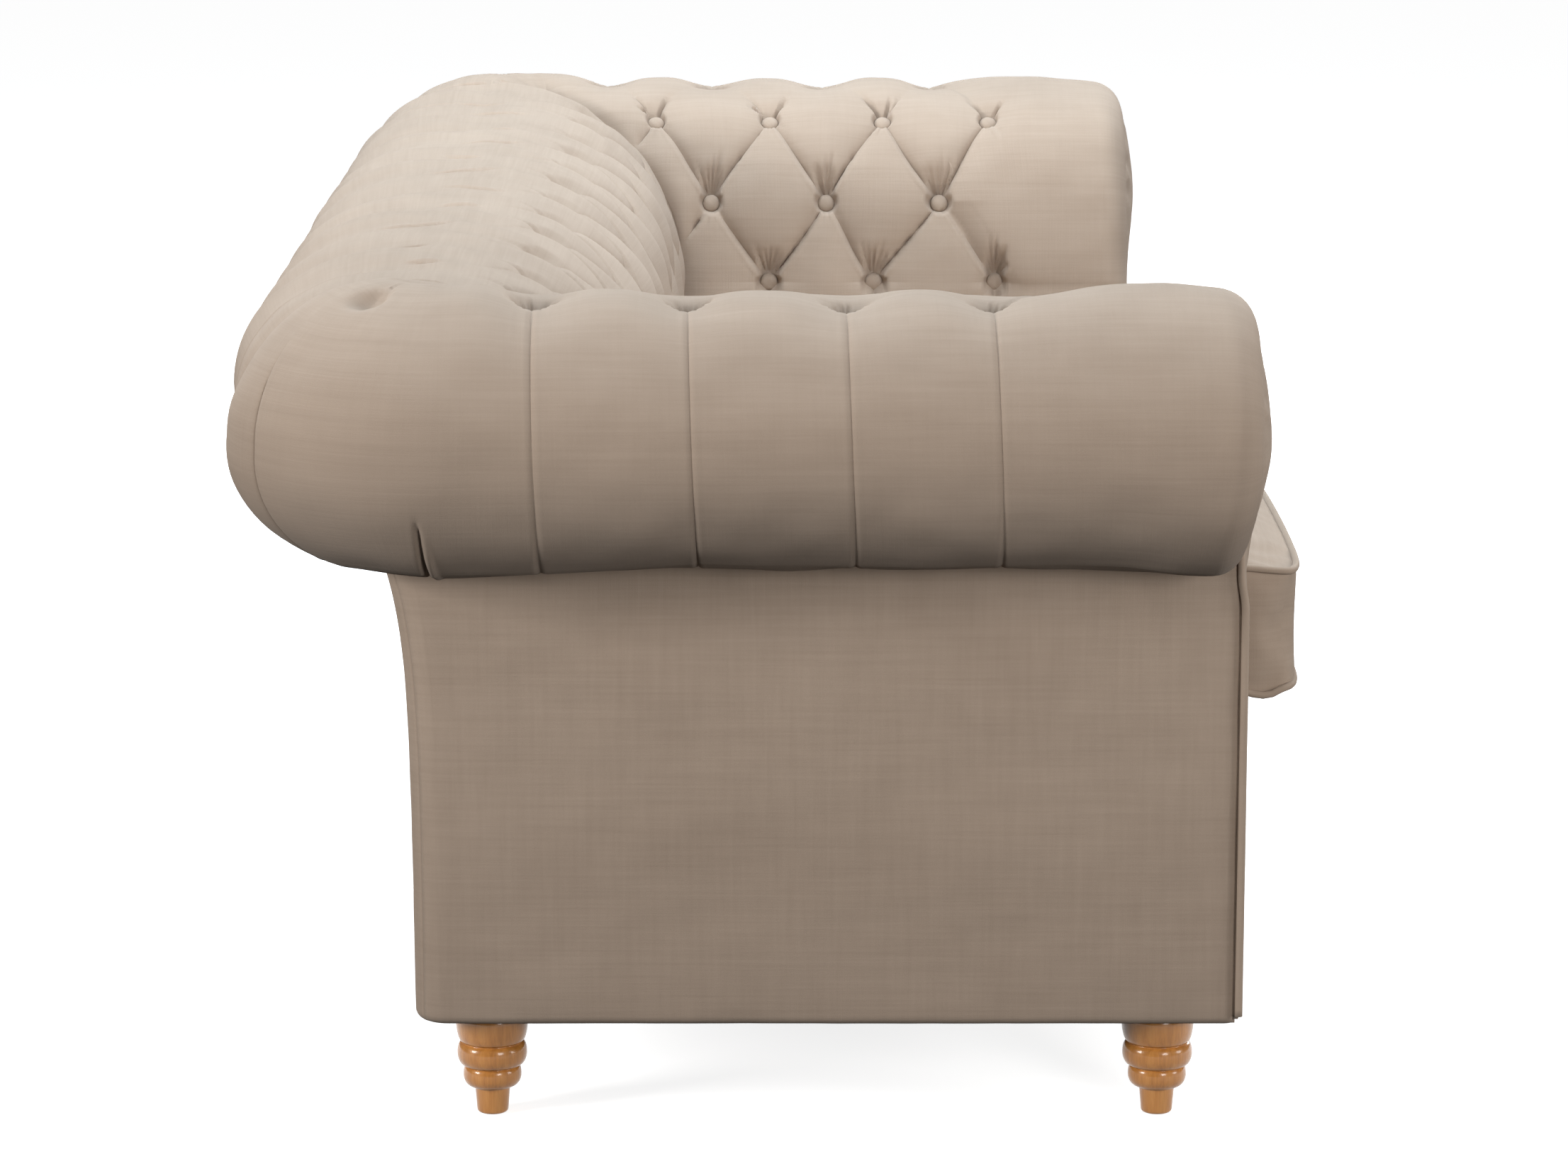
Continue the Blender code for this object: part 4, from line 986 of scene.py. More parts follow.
def pad_buttons(name, kind, seed, mirror):
    section = ARM if kind == "arm" else BACK
    places = []
    for column, row in button_places(kind):
        sunk = BUTTON_DEPTHS[row] - BUTTON_RISES[row]
        if kind == "back" and row == 1:
            sunk = BUTTON_DEPTHS[row] * BACK_TOP_SHARE
        if row == 0:
            sunk -= CREST_LIFT
        along = arm_place(column) if kind == "arm" else column * BACK_PITCH / 2
        spare = button_limit(kind, row) + BUTTON_MARGIN - (abs(along) if kind == "back" else along)
        along += float(stray(np.array(along), np.array(section.row_reach[row]), np.array(spare), seed))
        wanted = section.row_reach[row] if row else -CREST_SHIFT
        place = int(np.argmin(np.abs(section.reach - wanted)))
        inset = section.inset[place] + sunk * section.across[place]
        height = section.height[place] + sunk * section.down[place]
        outward = (-section.across[place], -section.down[place])
        if kind == "arm":
            centre = (HALF_WIDTH - inset, along, height)
            normal = (-outward[0], 0.0, outward[1])
        else:
            centre = (along, REAR - inset, height)
            normal = (0.0, -outward[0], outward[1])
        if mirror:
            centre = (-centre[0], *centre[1:])
            normal = (-normal[0], *normal[1:])
        places.append((centre, normal))
    return button_mesh(name, places, TRIM_VELVET)


def on_frame(piece, slot, *nodes, body="sofa_frame", fill=None):
    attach(piece, body)
    if nodes:
        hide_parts(*nodes)
    return piece


for side, mirror, seed in (("left", True, 101), ("right", False, 211)):
    cover = buttoned_cover(side + "_arm_cover", "arm", seed, mirror)
    on_frame(cover, "velvet", side + "_arm_buttoned_cover", fill=0.85)
    on_frame(pad_buttons(side + "_arm_buttons", "arm", seed, mirror), "velvet")
cover = buttoned_cover("back_cover", "back", 307, False)
on_frame(cover, "velvet", "back_buttoned_cover", fill=0.85)
on_frame(pad_buttons("back_buttons", "back", 307, False), "velvet")


# Outside panels

PANEL_SIDE = HALF_WIDTH - ROLL_OVERHANG
PANEL_FRONT = FACING_Y + 0.004
PANEL_CORNER = 0.030
PANEL_EDGE = 0.009
FRONT_EDGE = 0.010
PANEL_SWELL = 0.0035
PANEL_FOOT = FRAME_Z - 0.003
FACING_PROUD = 0.003
POST_PROUD = 0.0020
BACK_FACE = REAR - 0.147
BACK_FLARE = 0.0175


def back_face(height):
    """Where the outside back stands at a height: it flares out below the roll."""
    return BACK_FACE + BACK_FLARE * np.exp((height - 0.49) / 0.07)


def edge_fall(distance, radius):
    """How far a padded face falls back at a distance from its rounded edge."""
    inside = np.clip(1 - distance / radius, 0.0, 1.0)
    return radius * (1 - np.sqrt(1 - inside ** 2))


def edge_steps(radius, length, step, last=False):
    """Places along a length, close together over a rounded edge at its start, and at its end if last."""
    turn = np.linspace(0, math.pi / 2, 7)
    start = radius * (1 - np.cos(turn))
    stop = length - radius if last else length
    middle = np.linspace(radius, stop, max(2, round((stop - radius) / step)))[1:]
    places = np.concatenate([start, middle])
    if last:
        places = np.concatenate([places, length - start[::-1][1:]])
    return places


def panel(name, columns, seed, mirror=False):
    """A padded outside panel.

    Each column is (centre x, centre y behind the back's face, direction, radius, place along the cloth).
    """
    height = PANEL_FOOT + edge_steps(PANEL_EDGE, PANEL_TOP - PANEL_FOOT, 0.008)
    rise = (height - PANEL_FOOT) / (PANEL_TOP + 0.02 - PANEL_FOOT)
    rest = np.append(np.arange(len(height) - 1, 0, -5), 0)
    ends = [place for *_, place in columns]
    points, cloth = [], []
    for centre_x, centre_y, turn, radius, place in columns:
        free = smooth_step(0.0, 0.07, min(place - ends[0], ends[-1] - place))
        swell = PANEL_SWELL * np.sin(math.pi * rise) ** 0.6
        swell = swell + 0.0006 * ripple(place, height, 0.13, seed)
        swell = swell + 0.0003 * ripple(place, height, 0.04, seed + 1)
        pull = np.exp((height - PANEL_TOP) / 0.06)
        swell = swell + 0.0009 * ripple(place, height * 0.2, 0.06, seed + 2) * pull
        reach = radius + swell * free - edge_fall(height - PANEL_FOOT, PANEL_EDGE)
        if turn == 0.0:
            reach = reach - edge_fall(np.array(centre_y - PANEL_FRONT), FRONT_EDGE)
        behind = back_face(height) if turn > 0.0 else np.zeros(len(height))
        x = centre_x + reach * math.cos(turn)
        y = centre_y + behind + reach * math.sin(turn)
        lining_x = centre_x + (radius - PANEL_THICKNESS) * math.cos(turn)
        lining_y = centre_y + behind + (radius - PANEL_THICKNESS) * math.sin(turn)
        outer = np.stack(np.broadcast_arrays(x, y, height), 1)
        lining = np.stack(np.broadcast_arrays(lining_x, lining_y, height), 1)[rest]
        points.append(np.concatenate([outer, lining]))
        level = np.concatenate([height, height[rest]])
        cloth.append(np.stack([np.full(len(level), place), level], 1))
    points, cloth = np.array(points), np.array(cloth)
    if mirror:
        points = points * MIRRORED
    return skin(name, points, cloth, PANEL_VELVET)


def side_panel_columns():
    turn_y = float(back_face(FRAME_Z)) - PANEL_CORNER
    columns = [(PANEL_SIDE, PANEL_FRONT + place, 0.0, 0.0, PANEL_FRONT + place)
               for place in edge_steps(FRONT_EDGE, turn_y - PANEL_FRONT, 0.009)]
    for step in range(1, 7):
        turn = math.pi / 4 * step / 6
        place = turn_y + turn * PANEL_CORNER
        columns.append((PANEL_SIDE - PANEL_CORNER, -PANEL_CORNER, turn, PANEL_CORNER, place))
    return columns


def back_panel_columns():
    columns = []
    start = PANEL_SIDE - PANEL_CORNER
    for step in range(7):
        turn = math.pi / 4 + math.pi / 4 * step / 6
        place = -start - (math.pi / 2 - turn) * PANEL_CORNER
        columns.append((start, -PANEL_CORNER, turn, PANEL_CORNER, place))
    for x in np.linspace(start, -start, 150)[1:-1]:
        columns.append((x, 0.0, math.pi / 2, 0.0, -x))
    for step in range(6, -1, -1):
        turn = math.pi / 4 + math.pi / 4 * step / 6
        columns.append((-start, -PANEL_CORNER, math.pi - turn, PANEL_CORNER,
                        start + (math.pi / 2 - turn) * PANEL_CORNER))
    return columns


for side, mirror, seed in (("left", True, 401), ("right", False, 431)):
    made = panel(side + "_side_panel", side_panel_columns(), seed, mirror)
    on_frame(made, "velvet", side + "_outside_panel", fill=0.5)
on_frame(panel("back_panel", back_panel_columns(), 461), "velvet", "back_outside_panel", fill=0.5)


# Arm facings and the front border

def facing_rim(seed):
    """The outline of the right arm's front: the roll's rounded edge, then down and up the post's sides."""
    points = cover_grid("arm", arm_columns()[:1], seed)[0][0, :len(ARM.inset)]
    outer, inner = PANEL_SIDE - 0.003, SEAT_HALF + 0.003
    low = FRAME_Z + 0.002
    post = [(outer, FACING_Y, points[-1][2] - 0.006), (outer, FACING_Y, low), (inner, FACING_Y, low),
            (inner, FACING_Y, SEAT_Z)]
    return np.concatenate([points, resample(post, 0.006)[:-1]])


def nearest_on(points, spine):
    """The nearest place on a polyline for each point."""
    best = np.full(len(points), 1e9)
    found = np.zeros_like(points)
    for first, second in zip(spine[:-1], spine[1:]):
        run = second - first
        share = np.clip((points - first) @ run / max(run @ run, 1e-12), 0.0, 1.0)[:, None]
        place = first + share * run
        away = np.linalg.norm(points - place, axis=1)
        closer = away < best
        best[closer] = away[closer]
        found[closer] = place[closer]
    return found


def arm_facing(name, seed, mirror):
    rim = facing_rim(seed)
    middle = (PANEL_SIDE + SEAT_HALF) / 2
    spine = np.array([(middle, FACING_Y, 0.165), (middle, FACING_Y, 0.47),
                      (HALF_WIDTH - 0.152, FACING_Y, 0.628)])
    hub = nearest_on(rim, spine)
    closed = np.concatenate([rim, rim[:1]])
    length = run_along(rim)
    shares = [0.0, 0.03, 0.07, 0.13, 0.20, 0.28, 0.37, 0.47, 0.58, 0.70, 0.82, 0.92, 1.0]
    lining = rim.copy()
    lining[:, 1] += 0.010
    rings = [lining]
    for share in shares:
        ring = rim * (1 - share) + hub * share
        away = np.linalg.norm(ring - nearest_on(ring, closed), axis=1)
        swell = smooth_step(0.492, 0.632, ring[:, 2])
        dome = (FACING_DOME + FACING_PROUD) * (1 - (1 - np.clip(away / 0.09, 0.0, 1.0)) ** 1.6) * swell
        dome = dome + POST_PROUD * (1 - np.exp(-away / 0.007)) * (1 - swell)
        gather = ripple(length, 0.0 * length, 0.034, seed + 5, 7, 0.1) * np.exp(-away / 0.024)
        dome = dome + 0.0017 * gather * swell * smooth_step(0.0, 0.012, away) * (1 - share)
        ring[:, 1] = FACING_Y + 0.0018 * np.exp(-away / 0.003) - dome + front_lean(ring[:, 0], ring[:, 2])
        rings.append(ring)
    knots = [np.argmin(np.abs(ring[:, 2] - level)) for level in spine[:, 2]]
    ring[:, 1] = np.interp(ring[:, 2], spine[:, 2], ring[knots, 1])
    points = np.array(rings)
    return skin(name, points * (MIRRORED if mirror else 1.0), points[:, :, [0, 2]], PANEL_VELVET)


def front_border():
    half = SEAT_HALF - 0.0005
    top = SEAT_Z - 0.0005
    across = edge_steps(0.006, 2 * half, 0.012, last=True) - half
    height = FRAME_Z + edge_steps(0.006, top - FRAME_Z, 0.010, last=True)
    x, z = np.meshgrid(across, height, indexing="ij")
    rise = np.sin(math.pi * (z - FRAME_Z) / (top - FRAME_Z)) ** 0.5
    fall = np.minimum(0.0055, edge_fall(half - np.abs(x), 0.006) + edge_fall(z - FRAME_Z, 0.006)
                      + edge_fall(top - z, 0.006))
    face = FACING_Y - 0.010 - 0.003 * rise - 0.0006 * ripple(x, z, 0.12, 503) + fall
    outer = np.stack([x, face, z], -1)
    back = np.stack([x, np.full(x.shape, FACING_Y - 0.0005), z], -1)[:, [-1, 0]]
    points = np.concatenate([outer, back], 1)
    return skin("front_border_panel", points, points[:, :, [0, 2]], PANEL_VELVET)


PIPING = 0.0034
PIPING_TOP = 0.523


def post_piping(name, x, low, high):
    heights = np.linspace(low, high, 60)
    path = np.stack([np.full(60, x) + 0.0004 * ripple(heights, 0 * heights, 0.09, 521),
                     FACING_Y + 0.0016 + front_lean(x, heights), heights], 1)
    return tube(name, path, PIPING, TRIM_VELVET)


for side, sign, seed in (("left", -1, 101), ("right", 1, 211)):
    made = arm_facing(side + "_arm_front", seed, sign < 0)
    on_frame(made, "velvet", side + "_arm_facing", fill=0.7)
    for edge, x, top in (("outer", PANEL_SIDE + 0.0005, PIPING_TOP), ("inner", SEAT_HALF + 0.0022, SEAT_Z)):
        on_frame(post_piping(side + "_" + edge + "_piping", sign * x, FRAME_Z + 0.006, top), "velvet")
on_frame(front_border(), "velvet", "front_border", fill=0.5)


# Seat cushions

CUSHION_HALF = (SEAT_HALF / 3 - 0.001, 0.2893)
CUSHION_FRONT = CAD_BOX[0][1]
CUSHION_EDGE = 0.115
CUSHION_CROWN = 0.016
CUSHION_PULL = 0.005
CUSHION_CORNER = 0.008
CUSHION_STEPS = (50, 60, 12)
CUSHION_MIDDLE_Y = CUSHION_FRONT + CUSHION_HALF[1]
CUSHION_DROOP = 0.004
CUSHION_SAG = 0.006
CUSHION_CURL = 0.0075
CUSHION_BOW = 0.0035
CUSHION_CAP = 0.024
CUSHION_FRAMES = 20
CUSHION_PROUD = 0.006
BOXING_REACH = 0.012
BOXING_SWELL = 0.002
CUSHION_CLOTH = {"quality": 6, "mass": 0.25, "tension_stiffness": 14.0, "compression_stiffness": 14.0,
                 "shear_stiffness": 5.0, "bending_stiffness": 0.35, "shrink_min": -0.022,
                 "use_pressure": True, "uniform_pressure_force": 4.0}


def cushion_place(u, v, w, middle, shrink=0.0):
    """A point of a boxed cushion, from places between -1 and 1 across, along and up it."""
    pull_x = CUSHION_PULL * (1 - v * v) + CUSHION_CORNER * np.abs(u * v) ** 10
    front = smooth_step(-0.80, -1.0, v)
    pull_y = (CUSHION_PULL * (1 - front) - CUSHION_BOW * front) * (1 - u * u)
    pull_y = pull_y + CUSHION_CORNER * np.abs(u * v) ** 10
    waist = 0.0022 * (1 - w * w)
    x = middle + u * (CUSHION_HALF[0] - shrink - np.abs(u) * (pull_x + waist))
    y = CUSHION_MIDDLE_Y + v * (CUSHION_HALF[1] - shrink - np.abs(v) * (pull_y + waist))
    crown = CUSHION_CROWN * (1 - np.abs(u) ** 4) * (1 - np.abs(v) ** 6)
    sag = CUSHION_SAG * smooth_step(-0.79, -0.90, v) - CUSHION_CURL * smooth_step(-0.91, -1.0, v)
    droop = (CUSHION_DROOP * front * (w + 1) + sag * (1 - w)) / 2
    z = SEAT_Z + shrink + (CUSHION_EDGE - 2 * shrink) * (w + 1) / 2 + np.where(w > 0, w * crown, 0.0) - droop
    return np.stack(np.broadcast_arrays(x, y, z), -1)


def cushion_faces(steps):
    """The six sides of a unit box as grids of (u, v, w), with the axes that each side's cloth runs along."""
    across, along, up = [np.linspace(-1, 1, count + 1) for count in steps]
    for level in (-1.0, 1.0):
        u, v = np.meshgrid(across, along, indexing="ij")
        yield u, v, np.full(u.shape, level), (0, 1)
        u, w = np.meshgrid(across, up, indexing="ij")
        yield u, np.full(u.shape, level), w, (0, 2)
        v, w = np.meshgrid(along, up, indexing="ij")
        yield np.full(v.shape, level), v, w, (1, 2)


def cushion_mesh(name, middle, shrink, steps, material):
    points, faces, cloth = [], [], []
    first = 0
    for u, v, w, axes in cushion_faces(steps):
        grid = cushion_place(u, v, w, middle, shrink)
        column, row = np.meshgrid(np.arange(u.shape[0] - 1), np.arange(u.shape[1] - 1), indexing="ij")
        a = first + column * u.shape[1] + row
        quads = np.stack([a, a + u.shape[1], a + u.shape[1] + 1, a + 1], -1).reshape(-1, 4)
        points.append(grid.reshape(-1, 3))
        faces.append(quads)
        cloth.append(grid.reshape(-1, 3)[:, axes][quads - first].reshape(-1, 2))
        first += u.size
    made = mesh_object(name, np.concatenate(points), np.concatenate(faces), material,
                       face_uv=np.concatenate(cloth))
    return clean(made, close=False)


def seam_points(middle, level, count):
    """Places round a cushion's sewn edge, starting at the middle of its back."""
    corners = [(0, 1), (-1, 1), (-1, -1), (1, -1), (1, 1), (0, 1)]
    ring = resample(corners, 8 / count)[:-1]
    return cushion_place(ring[:, 0], ring[:, 1], np.full(len(ring), level), middle)


def points_of(mesh):
    flat = np.zeros(3 * len(mesh.vertices))
    mesh.vertices.foreach_get("co", flat)
    return flat.reshape(-1, 3)


def apply_modifier(obj, name):
    bpy.context.view_layer.objects.active = obj
    bpy.ops.object.modifier_apply(modifier=name)


def inflate(cover, middle):
    """Swells a cushion's cloth between its sewn edges with Blender's cloth solver, and keeps the result."""
    start = points_of(cover.data)
    seams = np.concatenate([seam_points(middle, level, 2400) for level in (-1.0, 1.0)])
    tree = KDTree(len(seams))
    for place, point in enumerate(seams):
        tree.insert(point, place)
    tree.balance()
    held = [place for place, point in enumerate(start) if tree.find(point)[2] < 0.0010]
    cover.vertex_groups.new(name="seams").add(held, 1.0, "REPLACE")
    cloth = cover.modifiers.new("inflate", "CLOTH")
    for key, value in CUSHION_CLOTH.items():
        setattr(cloth.settings, key, value)
    cloth.settings.effector_weights.gravity = 0.0
    cloth.settings.vertex_group_mass = "seams"
    cloth.collision_settings.use_self_collision = False
    scene = bpy.context.scene
    for step in range(1, CUSHION_FRAMES + 1):
        scene.frame_set(step)
    graph = bpy.context.evaluated_depsgraph_get()
    swollen = points_of(cover.evaluated_get(graph).data)
    cover.modifiers.remove(cloth)
    scene.frame_set(1)
    cover.vertex_groups.clear()
    moved = swollen - start
    far = np.linalg.norm(moved, axis=1)
    moved *= np.minimum(1.0, CUSHION_CAP / np.maximum(far, 1e-9))[:, None]
    moved[held] = 0.0
    end = start + moved
    end[:, 0] = np.clip(end[:, 0], middle - CUSHION_HALF[0], middle + CUSHION_HALF[0])
    boxing = start[:, 1] < CUSHION_FRONT + BOXING_REACH
    end[boxing, 1] = np.maximum(end[boxing, 1], start[boxing, 1] - BOXING_SWELL)
    end[:, 1] = np.clip(end[:, 1], CUSHION_FRONT - CUSHION_PROUD, CUSHION_FRONT + 2 * CUSHION_HALF[1])
    end[:, 2] = np.maximum(end[:, 2], np.minimum(start[:, 2], SEAT_Z))
    cover.data.vertices.foreach_set("co", end.ravel())
    cover.data.update()


def cushion_piping(name, middle, level):
    path = seam_points(middle, level, 240)
    centre = np.array([middle, CUSHION_MIDDLE_Y, 0.0])
    outward = path - centre
    outward[:, 2] = 0.0
    outward /= np.linalg.norm(outward, axis=1)[:, None]
    path = path + outward * 0.0004
    path[:, 2] += -0.0006 if level > 0 else PIPING - 0.0004
    return tube(name, path, PIPING, TRIM_VELVET, closed=True)


def cushion_zip(name, middle):
    """The teeth and slider of a closed zip along the rear boxing."""
    height = SEAT_Z + CUSHION_EDGE / 2
    reach = CUSHION_HALF[0] * 0.80
    points, faces = [], []

    def block(low, high):
        first = len(points)
        for corner in range(8):
            points.append([(low, high)[corner >> axis & 1][axis] for axis in range(3)])
        for quad in ((0, 2, 3, 1), (4, 5, 7, 6), (0, 1, 5, 4), (2, 6, 7, 3), (0, 4, 6, 2), (1, 3, 7, 5)):
            faces.append([first + corner for corner in quad])

    def back_at(x):
        across = np.array((x - middle) / CUSHION_HALF[0])
        return cushion_place(across, np.array(1.0), np.array(0.0), middle)[1]

    step = 0.0026
    for tooth in range(int(2 * reach / step)):
        x = middle - reach + tooth * step
        y = float(back_at(x))
        lean = 0.0008 if tooth % 2 else -0.0008
        block((x, y - 0.001, height - 0.0022 + lean), (x + 0.0017, y + 0.0014, height + 0.0022 + lean))
    start = middle - reach
    y = float(back_at(start))
    block((start - 0.006, y - 0.001, height - 0.0045), (start + 0.004, y + 0.0022, height + 0.0045))
    teeth = clean(mesh_object(name, points, faces, STEEL), close=False)
    teeth.data.shade_flat()
    return teeth


for name, place in (("left", -1), ("middle", 0), ("right", 1)):
    middle = place * 2 * SEAT_HALF / 3
    body = name + "_cushion"
    cover = cushion_mesh(name + "_seat_cushion", middle, 0.0, CUSHION_STEPS, CUSHION_VELVET)
    inflate(cover, middle)
    cover.modifiers.new("smooth", "SUBSURF").levels = 1
    apply_modifier(cover, "smooth")
    on_frame(cover, "cushion_velvet", name + "_cushion_cover", body=body, fill=0.75)
    for level, edge in ((1.0, "top"), (-1.0, "bottom")):
        piping = cushion_piping(name + "_cushion_" + edge + "_piping", middle, level)
        on_frame(piping, "cushion_velvet", body=body)
    on_frame(cushion_zip(name + "_cushion_zip", middle), "fixing_steel", body=body)
    core = cushion_mesh(name + "_cushion_foam", middle, 0.005, (24, 28, 6), PAD_FOAM)
    on_frame(core, "cushion_foam", name + "_cushion_core", body=body, fill=0.9)


# Legs

LEG_HEIGHT = 0.098
LEG_BEADS = ((0.0655, 0.0440, 0.0267, 0.0312, 0.0226), (0.0440, 0.0245, 0.0226, 0.0260, 0.0160))
LEG_SIDES = 48
LEG_PLACES = ("front_left", "front_right", "rear_left", "rear_right")


def leg_profile():
    """(radius, height) down a turned leg: a rounded collar, two beads and a tapered foot."""
    profile = [(0.0, LEG_HEIGHT), (0.0320, LEG_HEIGHT)]
    for step in range(9):
        turn = math.pi / 2 * step / 8
        profile.append((0.0267 + 0.0056 * math.cos(turn) ** 0.9, 0.0860 - 0.0200 * math.sin(turn) ** 1.15))
    for high, low, high_neck, widest, low_neck in LEG_BEADS:
        for step in range(1, 18):
            turn = math.pi * step / 18
            neck = high_neck if step < 9 else low_neck
            bulge = math.sin(turn) ** 0.8
            middle = low + (high - low) * 0.54
            half = high - middle if step < 9 else middle - low
            profile.append((neck + (widest - neck) * bulge, middle + half * math.cos(turn)))
    profile += [(0.0159, 0.0240), (0.0156, 0.0225)]
    for step in range(1, 9):
        profile.append((0.0156 - 0.0016 * step / 8, 0.0225 - 0.0195 * step / 8))
    for step in range(1, 6):
        turn = math.pi / 2 * step / 5
        profile.append((0.0110 + 0.0030 * math.cos(turn), 0.0030 - 0.0030 * math.sin(turn)))
    profile.append((0.0, 0.0))
    return profile


def turned_leg(name, x, y):
    profile = np.array(leg_profile())
    turn = np.linspace(0, 2 * math.pi, LEG_SIDES, endpoint=False)
    points = np.stack([profile[:, :1] * np.cos(turn), profile[:, :1] * np.sin(turn),
                       np.broadcast_to(profile[:, 1:], (len(profile), LEG_SIDES))], -1)
    uv = np.stack([np.broadcast_to(turn * 0.03, points.shape[:2]), points[:, :, 2]], -1)
    made = skin(name, points, uv, LEG_WOOD, close=False)
    made.location = (x, y, 0.0)
    return made


for place in LEG_PLACES:
    low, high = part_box("leg_" + place)
    leg = turned_leg("turned_leg_" + place, (low.x + high.x) / 2, (low.y + high.y) / 2)
    on_frame(leg, "leg_timber", "leg_" + place, body=place + "_leg")


# Soft pieces inside: the pads' foam, the deck under the cushions and the dust cover below the frame

def soft_copy(name, node_name, material, spacing):
    """A CAD node's form as a mesh of its own, cut into strips that are spacing wide along each axis."""
    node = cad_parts[node_name]
    bm = bmesh.new()
    bm.from_mesh(node.data)
    bmesh.ops.remove_doubles(bm, verts=bm.verts[:], dist=0.00001)
    low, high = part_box(node_name)
    for axis in range(3):
        normal = [0.0, 0.0, 0.0]
        normal[axis] = 1.0
        for place in np.arange(low[axis] + spacing, high[axis], spacing):
            point = [0.0, 0.0, 0.0]
            point[axis] = place
            everything = bm.verts[:] + bm.edges[:] + bm.faces[:]
            bmesh.ops.bisect_plane(bm, geom=everything, plane_co=point, plane_no=normal)
    bmesh.ops.triangulate(bm, faces=[face for face in bm.faces if len(face.verts) > 4])
    mesh = bpy.data.meshes.new(name)
    bm.to_mesh(mesh)
    bm.free()
    mesh.materials.append(material)
    made = bpy.data.objects.new(name, mesh)
    bpy.context.scene.collection.objects.link(made)
    return made


def dress(piece, change):
    """Moves a piece's points by what change gives for their places."""
    places = points_of(piece.data)
    piece.data.vertices.foreach_set("co", (places + change(places)).ravel())
    piece.data.update()
    return piece


def deck_swell(places):
    """A quilted top: shallow channels from front to back, nothing at the edges."""
    low, high = [np.array(corner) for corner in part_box("seat_deck")]
    inward = np.minimum(places[:, :2] - low[:2], high[:2] - places[:, :2]).min(1)
    top = smooth_step(0.3, 0.9, (places[:, 2] - low[2]) / (high[2] - low[2]))
    channel = np.abs(np.sin(math.pi * places[:, 0] / 0.128))
    sink = 0.0028 * (1 - channel ** 0.7) + 0.0006 * (1 + ripple(places[:, 0], places[:, 1], 0.09, 611))
    moved = np.zeros(places.shape)
    moved[:, 2] = -sink * top * smooth_step(0.0, 0.03, inward)
    return moved


def dust_sag(places):
    """Cloth stapled round its edge: it hangs a little between, with pulls along the edge."""
    low, high = [np.array(corner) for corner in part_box("dust_cover")]
    inward = np.minimum(places[:, :2] - low[:2], high[:2] - places[:, :2]).min(1)
    legs = [np.mean(np.array(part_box("leg_" + place)), 0)[:2] for place in LEG_PLACES]
    clear = np.min([np.linalg.norm(places[:, :2] - leg, axis=1) for leg in legs], 0)
    free = smooth_step(0.02, 0.20, inward) * smooth_step(0.06, 0.22, clear)
    x, y = places[:, 0], places[:, 1]
    around = np.where(inward == np.minimum(x - low[0], high[0] - x), y, x)
    pulls = 0.0012 * (1 + np.sin(around * 2 * math.pi / 0.07)) * np.exp(-inward / 0.03)
    pulls = pulls * smooth_step(0.0, 0.02, inward) * (clear > 0.06)
    moved = np.zeros(places.shape)
    moved[:, 2] = -0.006 * free * (1 + 0.12 * ripple(x, y, 0.3, 631)) - pulls
    return moved


for pad in ("left_arm_foam", "right_arm_foam", "back_foam"):
    on_frame(soft_copy(pad + "_pad", pad, PAD_FOAM, 0.06), "pad_foam", pad, fill=0.9)
deck = dress(soft_copy("seat_deck_quilt", "seat_deck", FELT, 0.016), deck_swell)
on_frame(deck, "deck_felt", "seat_deck", fill=0.6)
sheet = dress(soft_copy("dust_sheet", "dust_cover", DUST_CLOTH, 0.020), dust_sag)
on_frame(sheet, "dust_cloth", "dust_cover")
low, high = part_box("dust_cover")


# CAD nodes that stay, each with a finish of its own

FINISHES = (
    (TIMBER, ("rail", "post", "brace", "upright", "block")),
    (SPRING, ("seat_spring",)),
    (STEEL, ("clip", "bolt", "nut")),
)
for node_name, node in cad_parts.items():
    if node.hide_render:
        continue
    for finish, words in FINISHES:
        if any(word in node_name for word in words):
            chosen = finish
    node.data.materials.clear()
    node.data.materials.append(chosen)


# Stage, light and camera

def stage_floor():
    bpy.ops.mesh.primitive_plane_add(size=60.0, location=(0.0, 0.0, -0.0005))
    floor = bpy.context.object
    floor.name = "studio_floor"
    nodes = Nodes("studio_floor")
    path = nodes.add("ShaderNodeLightPath")
    seen = nodes.math("MAXIMUM", path.outputs["Is Camera Ray"], path.outputs["Is Glossy Ray"])
    seen = nodes.math("MAXIMUM", seen, path.outputs["Is Transmission Ray"])
    colour = nodes.ramp(seen, [(0.0, (0.015, 0.015, 0.015)), (1.0, (0.90, 0.90, 0.90))])
    nodes.link(colour, nodes.shader.inputs["Base Color"])
    glow = nodes.math("MULTIPLY", seen, 0.78)
    nodes.link(glow, nodes.shader.inputs["Emission Strength"])
    nodes.set(Roughness=1.0, Specular_IOR_Level=0.0, Emission_Color=(1.0, 1.0, 1.0, 1.0))
    floor.data.materials.append(nodes.material)


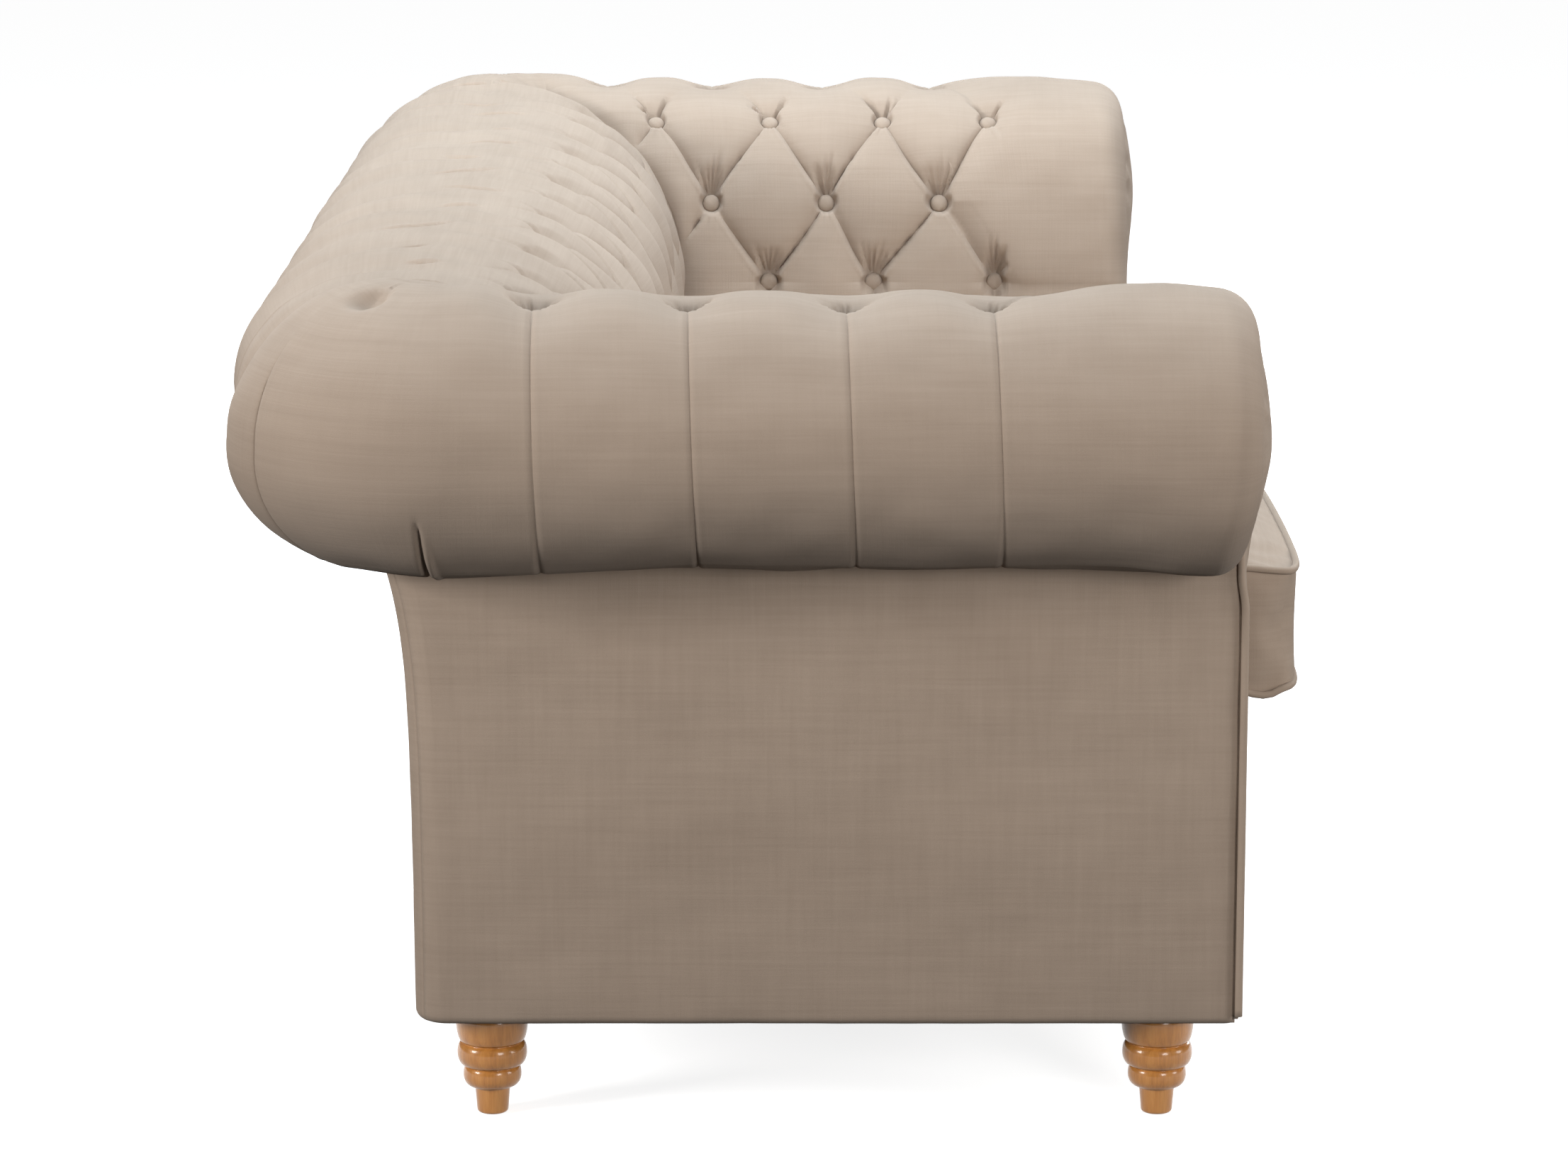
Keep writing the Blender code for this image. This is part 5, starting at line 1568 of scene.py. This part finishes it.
def studio_world():
    world = bpy.data.worlds.new("studio")
    bpy.context.scene.world = world
    world.use_nodes = True
    tree = world.node_tree
    background = tree.nodes["Background"]
    path = tree.nodes.new("ShaderNodeLightPath")
    seen = tree.nodes.new("ShaderNodeMath")
    seen.operation = "MAXIMUM"
    tree.links.new(path.outputs["Is Camera Ray"], seen.inputs[0])
    tree.links.new(path.outputs["Is Transmission Ray"], seen.inputs[1])
    strength = tree.nodes.new("ShaderNodeMapRange")
    strength.inputs["To Min"].default_value = 0.21
    strength.inputs["To Max"].default_value = 1.0
    tree.links.new(seen.outputs["Value"], strength.inputs["Value"])
    tree.links.new(strength.outputs["Result"], background.inputs["Strength"])
    background.inputs["Color"].default_value = (1.0, 1.0, 1.0, 1.0)


def softbox(name, place, aim, size, power, colour, spread=180.0):
    lamp = bpy.data.lights.new(name, "AREA")
    lamp.shape = "RECTANGLE"
    lamp.size, lamp.size_y = size
    lamp.energy = power
    lamp.color = colour
    lamp.spread = math.radians(spread)
    made = bpy.data.objects.new(name, lamp)
    made.location = place
    made.rotation_euler = (Vector(aim) - Vector(place)).to_track_quat("-Z", "Y").to_euler()
    bpy.context.scene.collection.objects.link(made)


def photo_camera():
    lens = bpy.data.cameras.new("photo_camera")
    lens.lens = 117.0
    lens.sensor_width = 36.0
    lens.sensor_fit = "HORIZONTAL"
    lens.clip_end = 100.0
    made = bpy.data.objects.new("photo_camera", lens)
    made.location = (-5.1944, -0.0181, 1.3683)
    made.rotation_euler = (math.radians(90 - 11.47), 0.0, math.radians(-90))
    bpy.context.scene.collection.objects.link(made)
    bpy.context.scene.camera = made


stage_floor()
studio_world()
WARM = (1.0, 0.98, 0.957)
COOL = (0.79, 0.905, 1.0)
softbox("top_light", (0.6, 0.2, 3.4), (0.1, 0.0, 0.5), (3.0, 3.2), 172.0, COOL)
softbox("far_light", (-2.6, -0.4, 3.1), (0.9, -0.05, 0.55), (0.9, 0.9), 2.4, COOL, 34.0)
softbox("side_light_front", (-4.4, -1.9, 1.20), (-0.5, 0.0, 0.45), (1.1, 1.1), 66.0, WARM)
softbox("side_light_rear", (-2.6, 3.7, 1.50), (-0.5, 0.2, 0.5), (1.1, 1.1), 126.0, WARM)
softbox("front_light", (-1.9, -4.3, 1.1), (-0.3, -0.3, 0.4), (1.2, 1.2), 54.0, WARM)
softbox("right_light", (4.2, -2.6, 1.5), (0.6, 0.0, 0.4), (1.4, 1.4), 90.0, WARM)
photo_camera()
bpy.context.scene.view_settings.view_transform = "Standard"
